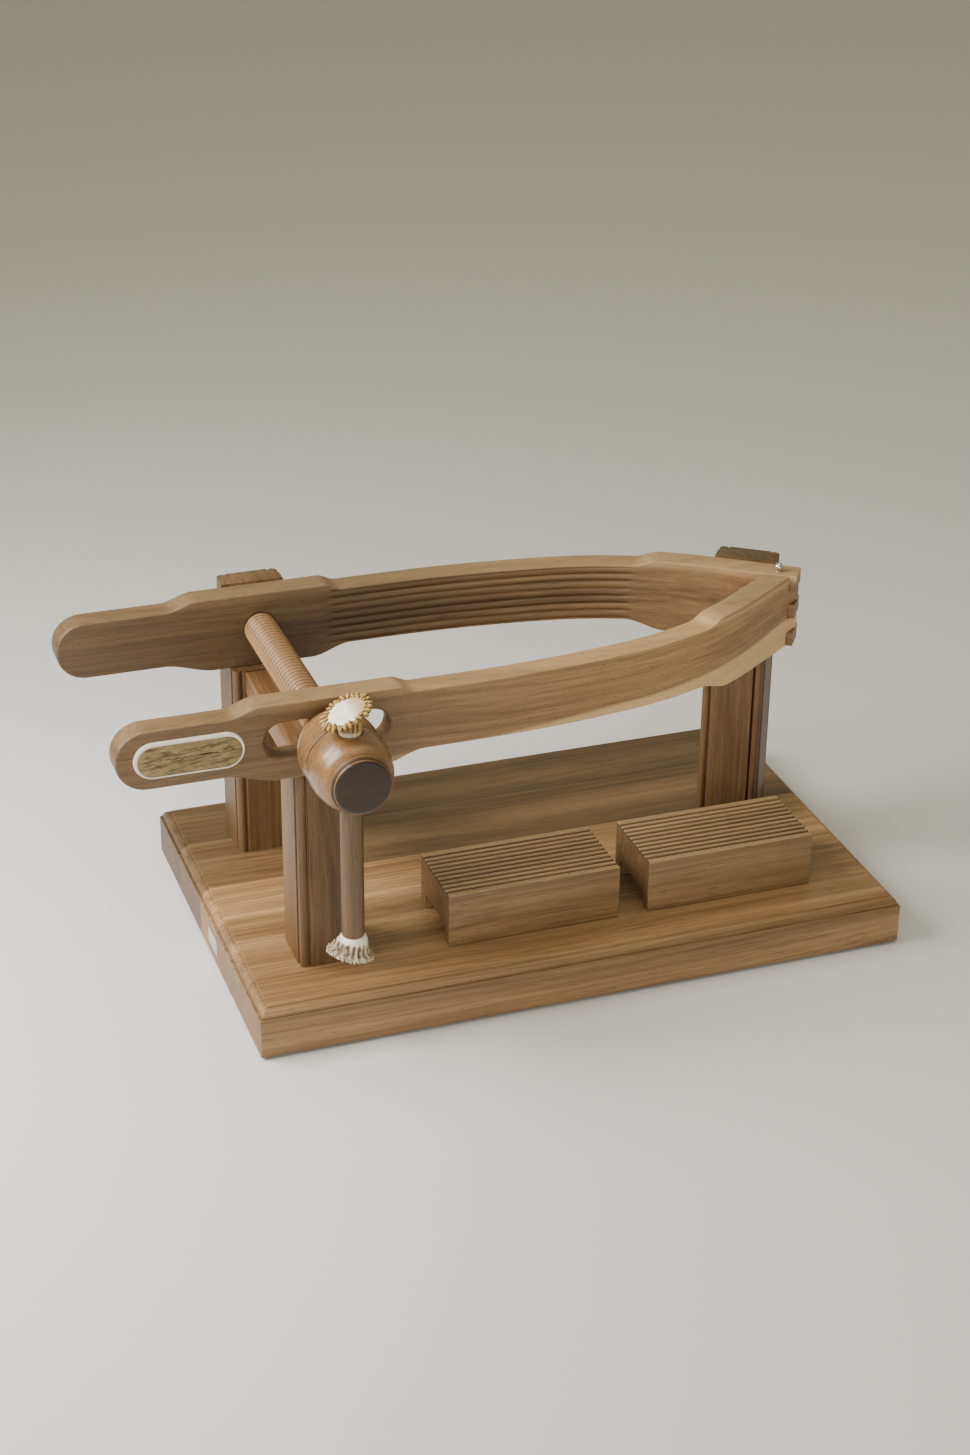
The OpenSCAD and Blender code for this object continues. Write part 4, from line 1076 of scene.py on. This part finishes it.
def groove_shade(top, centre, half):
    """Painted shade in the grooves of a rest block's top."""
    def shade(tree, split):
        # only between the long sides, which stay plain
        middle = spread(tree, maths(tree, "ABSOLUTE", maths(tree, "SUBTRACT", split.outputs[1], centre * MM)),
                        (half - 2.2) * MM, (half - 1.6) * MM, 1.0, 0.0)
        above = spread(tree, split.outputs[2], (top - 2.8) * MM, (top - 2.6) * MM, 0.0, 1.0)
        below = spread(tree, split.outputs[2], (top - 2.2) * MM, (top - 0.5) * MM, 0.72, 0.0)
        return maths(tree, "MULTIPLY", maths(tree, "MULTIPLY", above, below), middle)
    return shade


def painted_ridge_light(top):
    """Painted light on the ridge tops."""
    return lambda tree, split: spread(tree, split.outputs[2], (top - 0.8) * MM, (top - 0.2) * MM, 0.0, 0.55)


def rest_blocks():
    for side, seed, tone in (("left", 83.3, 0.98), ("right", 91.9, 0.92)):
        lo, hi = box_mm(f"rest_block_{side}")
        out = block_outline(hi[1] - lo[1], hi[2] - lo[2])
        yc = (lo[1] + hi[1]) / 2
        loops = []
        eased = ((0.0, 1.0), (0.15, 0.55), (0.5, 0.15), (1.0, 0))  # distance from the end, amount drawn in
        for x, d in [(lo[0] + e, d) for e, d in eased] + [(hi[0] - e, d) for e, d in eased[::-1]]:
            loops.append([(x, yc + y + d * a, lo[2] + z + d * b) for y, z, a, b in out])
        mat = wood(f"block_{side}_walnut", "x", seed, tone, 1.1, sap_and_painted_light=painted_ridge_light(hi[2]),
                   shade=groove_shade(hi[2], yc, (hi[1] - lo[1]) / 2))
        make(f"rest_block_{side}_wood", *tube(loops), mat, f"rest_block_{side}", "walnut_block",
             (f"rest_block_{side}",), 42)


def small_parts():
    looks = {
        "foot_pads": plain("foot_rubber_look", (0.035, 0.032, 0.030), 0.8),
        "name_plate": plain("plate_look", (0.72, 0.70, 0.66), 0.34, 1.0, 0.3),
        "rail_dowels": wood("dowel_look", "y", 2.2, 2.2, 0.6),
        "jaw_dowels": wood("dowel_look_b", "y", 2.9, 2.2, 0.6),
        "head_pin": wood("dowel_look_c", "x", 4.4, 2.2, 0.6),
        "post_bolts": plain("bolt_look", (0.55, 0.55, 0.54), 0.38, 1.0),
        "crown_studs": plain("stud_look", (0.55, 0.55, 0.54), 0.38, 1.0),
    }
    for node, mat in looks.items():
        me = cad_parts[node].data
        me.materials.clear()
        me.materials.append(mat)


board()
posts()
jaws()
inlay()
screw()
collar_and_head()
bar()
burrs()
hinge_pin()
rest_blocks()
small_parts()

# ---------------------------------------------------------------- floor, light, camera


def studio():
    me = bpy.data.meshes.new("floor")
    me.from_pydata([(-8, -5, 0), (8, -5, 0), (8, 11, 0), (-8, 11, 0)], [], [(0, 1, 2, 3)])
    floor = bpy.data.objects.new("floor", me)
    bpy.context.scene.collection.objects.link(floor)
    mat, _, bsdf = material("floor_paper")
    bsdf.inputs["Base Color"].default_value = (0.66, 0.65, 0.635, 1)
    bsdf.inputs["Roughness"].default_value = 0.85
    me.materials.append(mat)
    world = bpy.context.scene.world or bpy.data.worlds.new("studio")
    bpy.context.scene.world = world
    world.use_nodes = True
    back = world.node_tree.nodes["Background"]
    back.inputs["Color"].default_value = (0.90, 0.86, 0.60, 1)
    back.inputs["Strength"].default_value = 0.46
    for name, place, aim, size, watts, colour in (
            ("key", (-1.05, 0.05, 1.00), (-0.15, -0.2, 0.1), 0.80, 36, (1.0, 0.95, 0.92)),
            ("front", (-1.0, -2.5, 0.9), (0, 0, 0.15), 1.6, 34, (1.0, 0.98, 0.95)),
            ("top", (0.2, -0.3, 2.4), (0, 0, 0.1), 1.6, 12, (1.0, 0.98, 0.95))):
        lamp = bpy.data.lights.new(name, "AREA")
        lamp.size, lamp.energy, lamp.color = size, watts, colour
        o = bpy.data.objects.new(name, lamp)
        bpy.context.scene.collection.objects.link(o)
        o.location = place
        o.rotation_euler = (Vector(aim) - Vector(place)).to_track_quat("-Z", "Y").to_euler()


def camera():
    """The photograph's viewpoint, set from the board's centre on its underside."""
    azimuth, elevation, roll = radians(-19.638), radians(27.128), radians(0.679)
    away, right, up = 2.43573, -0.03212, 0.15629
    back = Vector((sin(azimuth) * cos(elevation), -cos(azimuth) * cos(elevation), sin(elevation)))
    x = Vector((0, 0, 1)).cross(back).normalized()
    y = back.cross(x)
    x, y = x * cos(roll) + y * sin(roll), y * cos(roll) - x * sin(roll)
    data = bpy.data.cameras.new("camera")
    data.sensor_width, data.lens = 36.0, 64.04
    data.clip_start, data.clip_end = 0.05, 60
    cam = bpy.data.objects.new("camera", data)
    bpy.context.scene.collection.objects.link(cam)
    target = Vector((0, 0, BOARD_LOW * MM))
    place = target + back * away + x * right + y * up
    cam.matrix_world = Matrix.Translation(place) @ Matrix((x, y, back)).transposed().to_4x4()
    bpy.context.scene.camera = cam


studio()
camera()
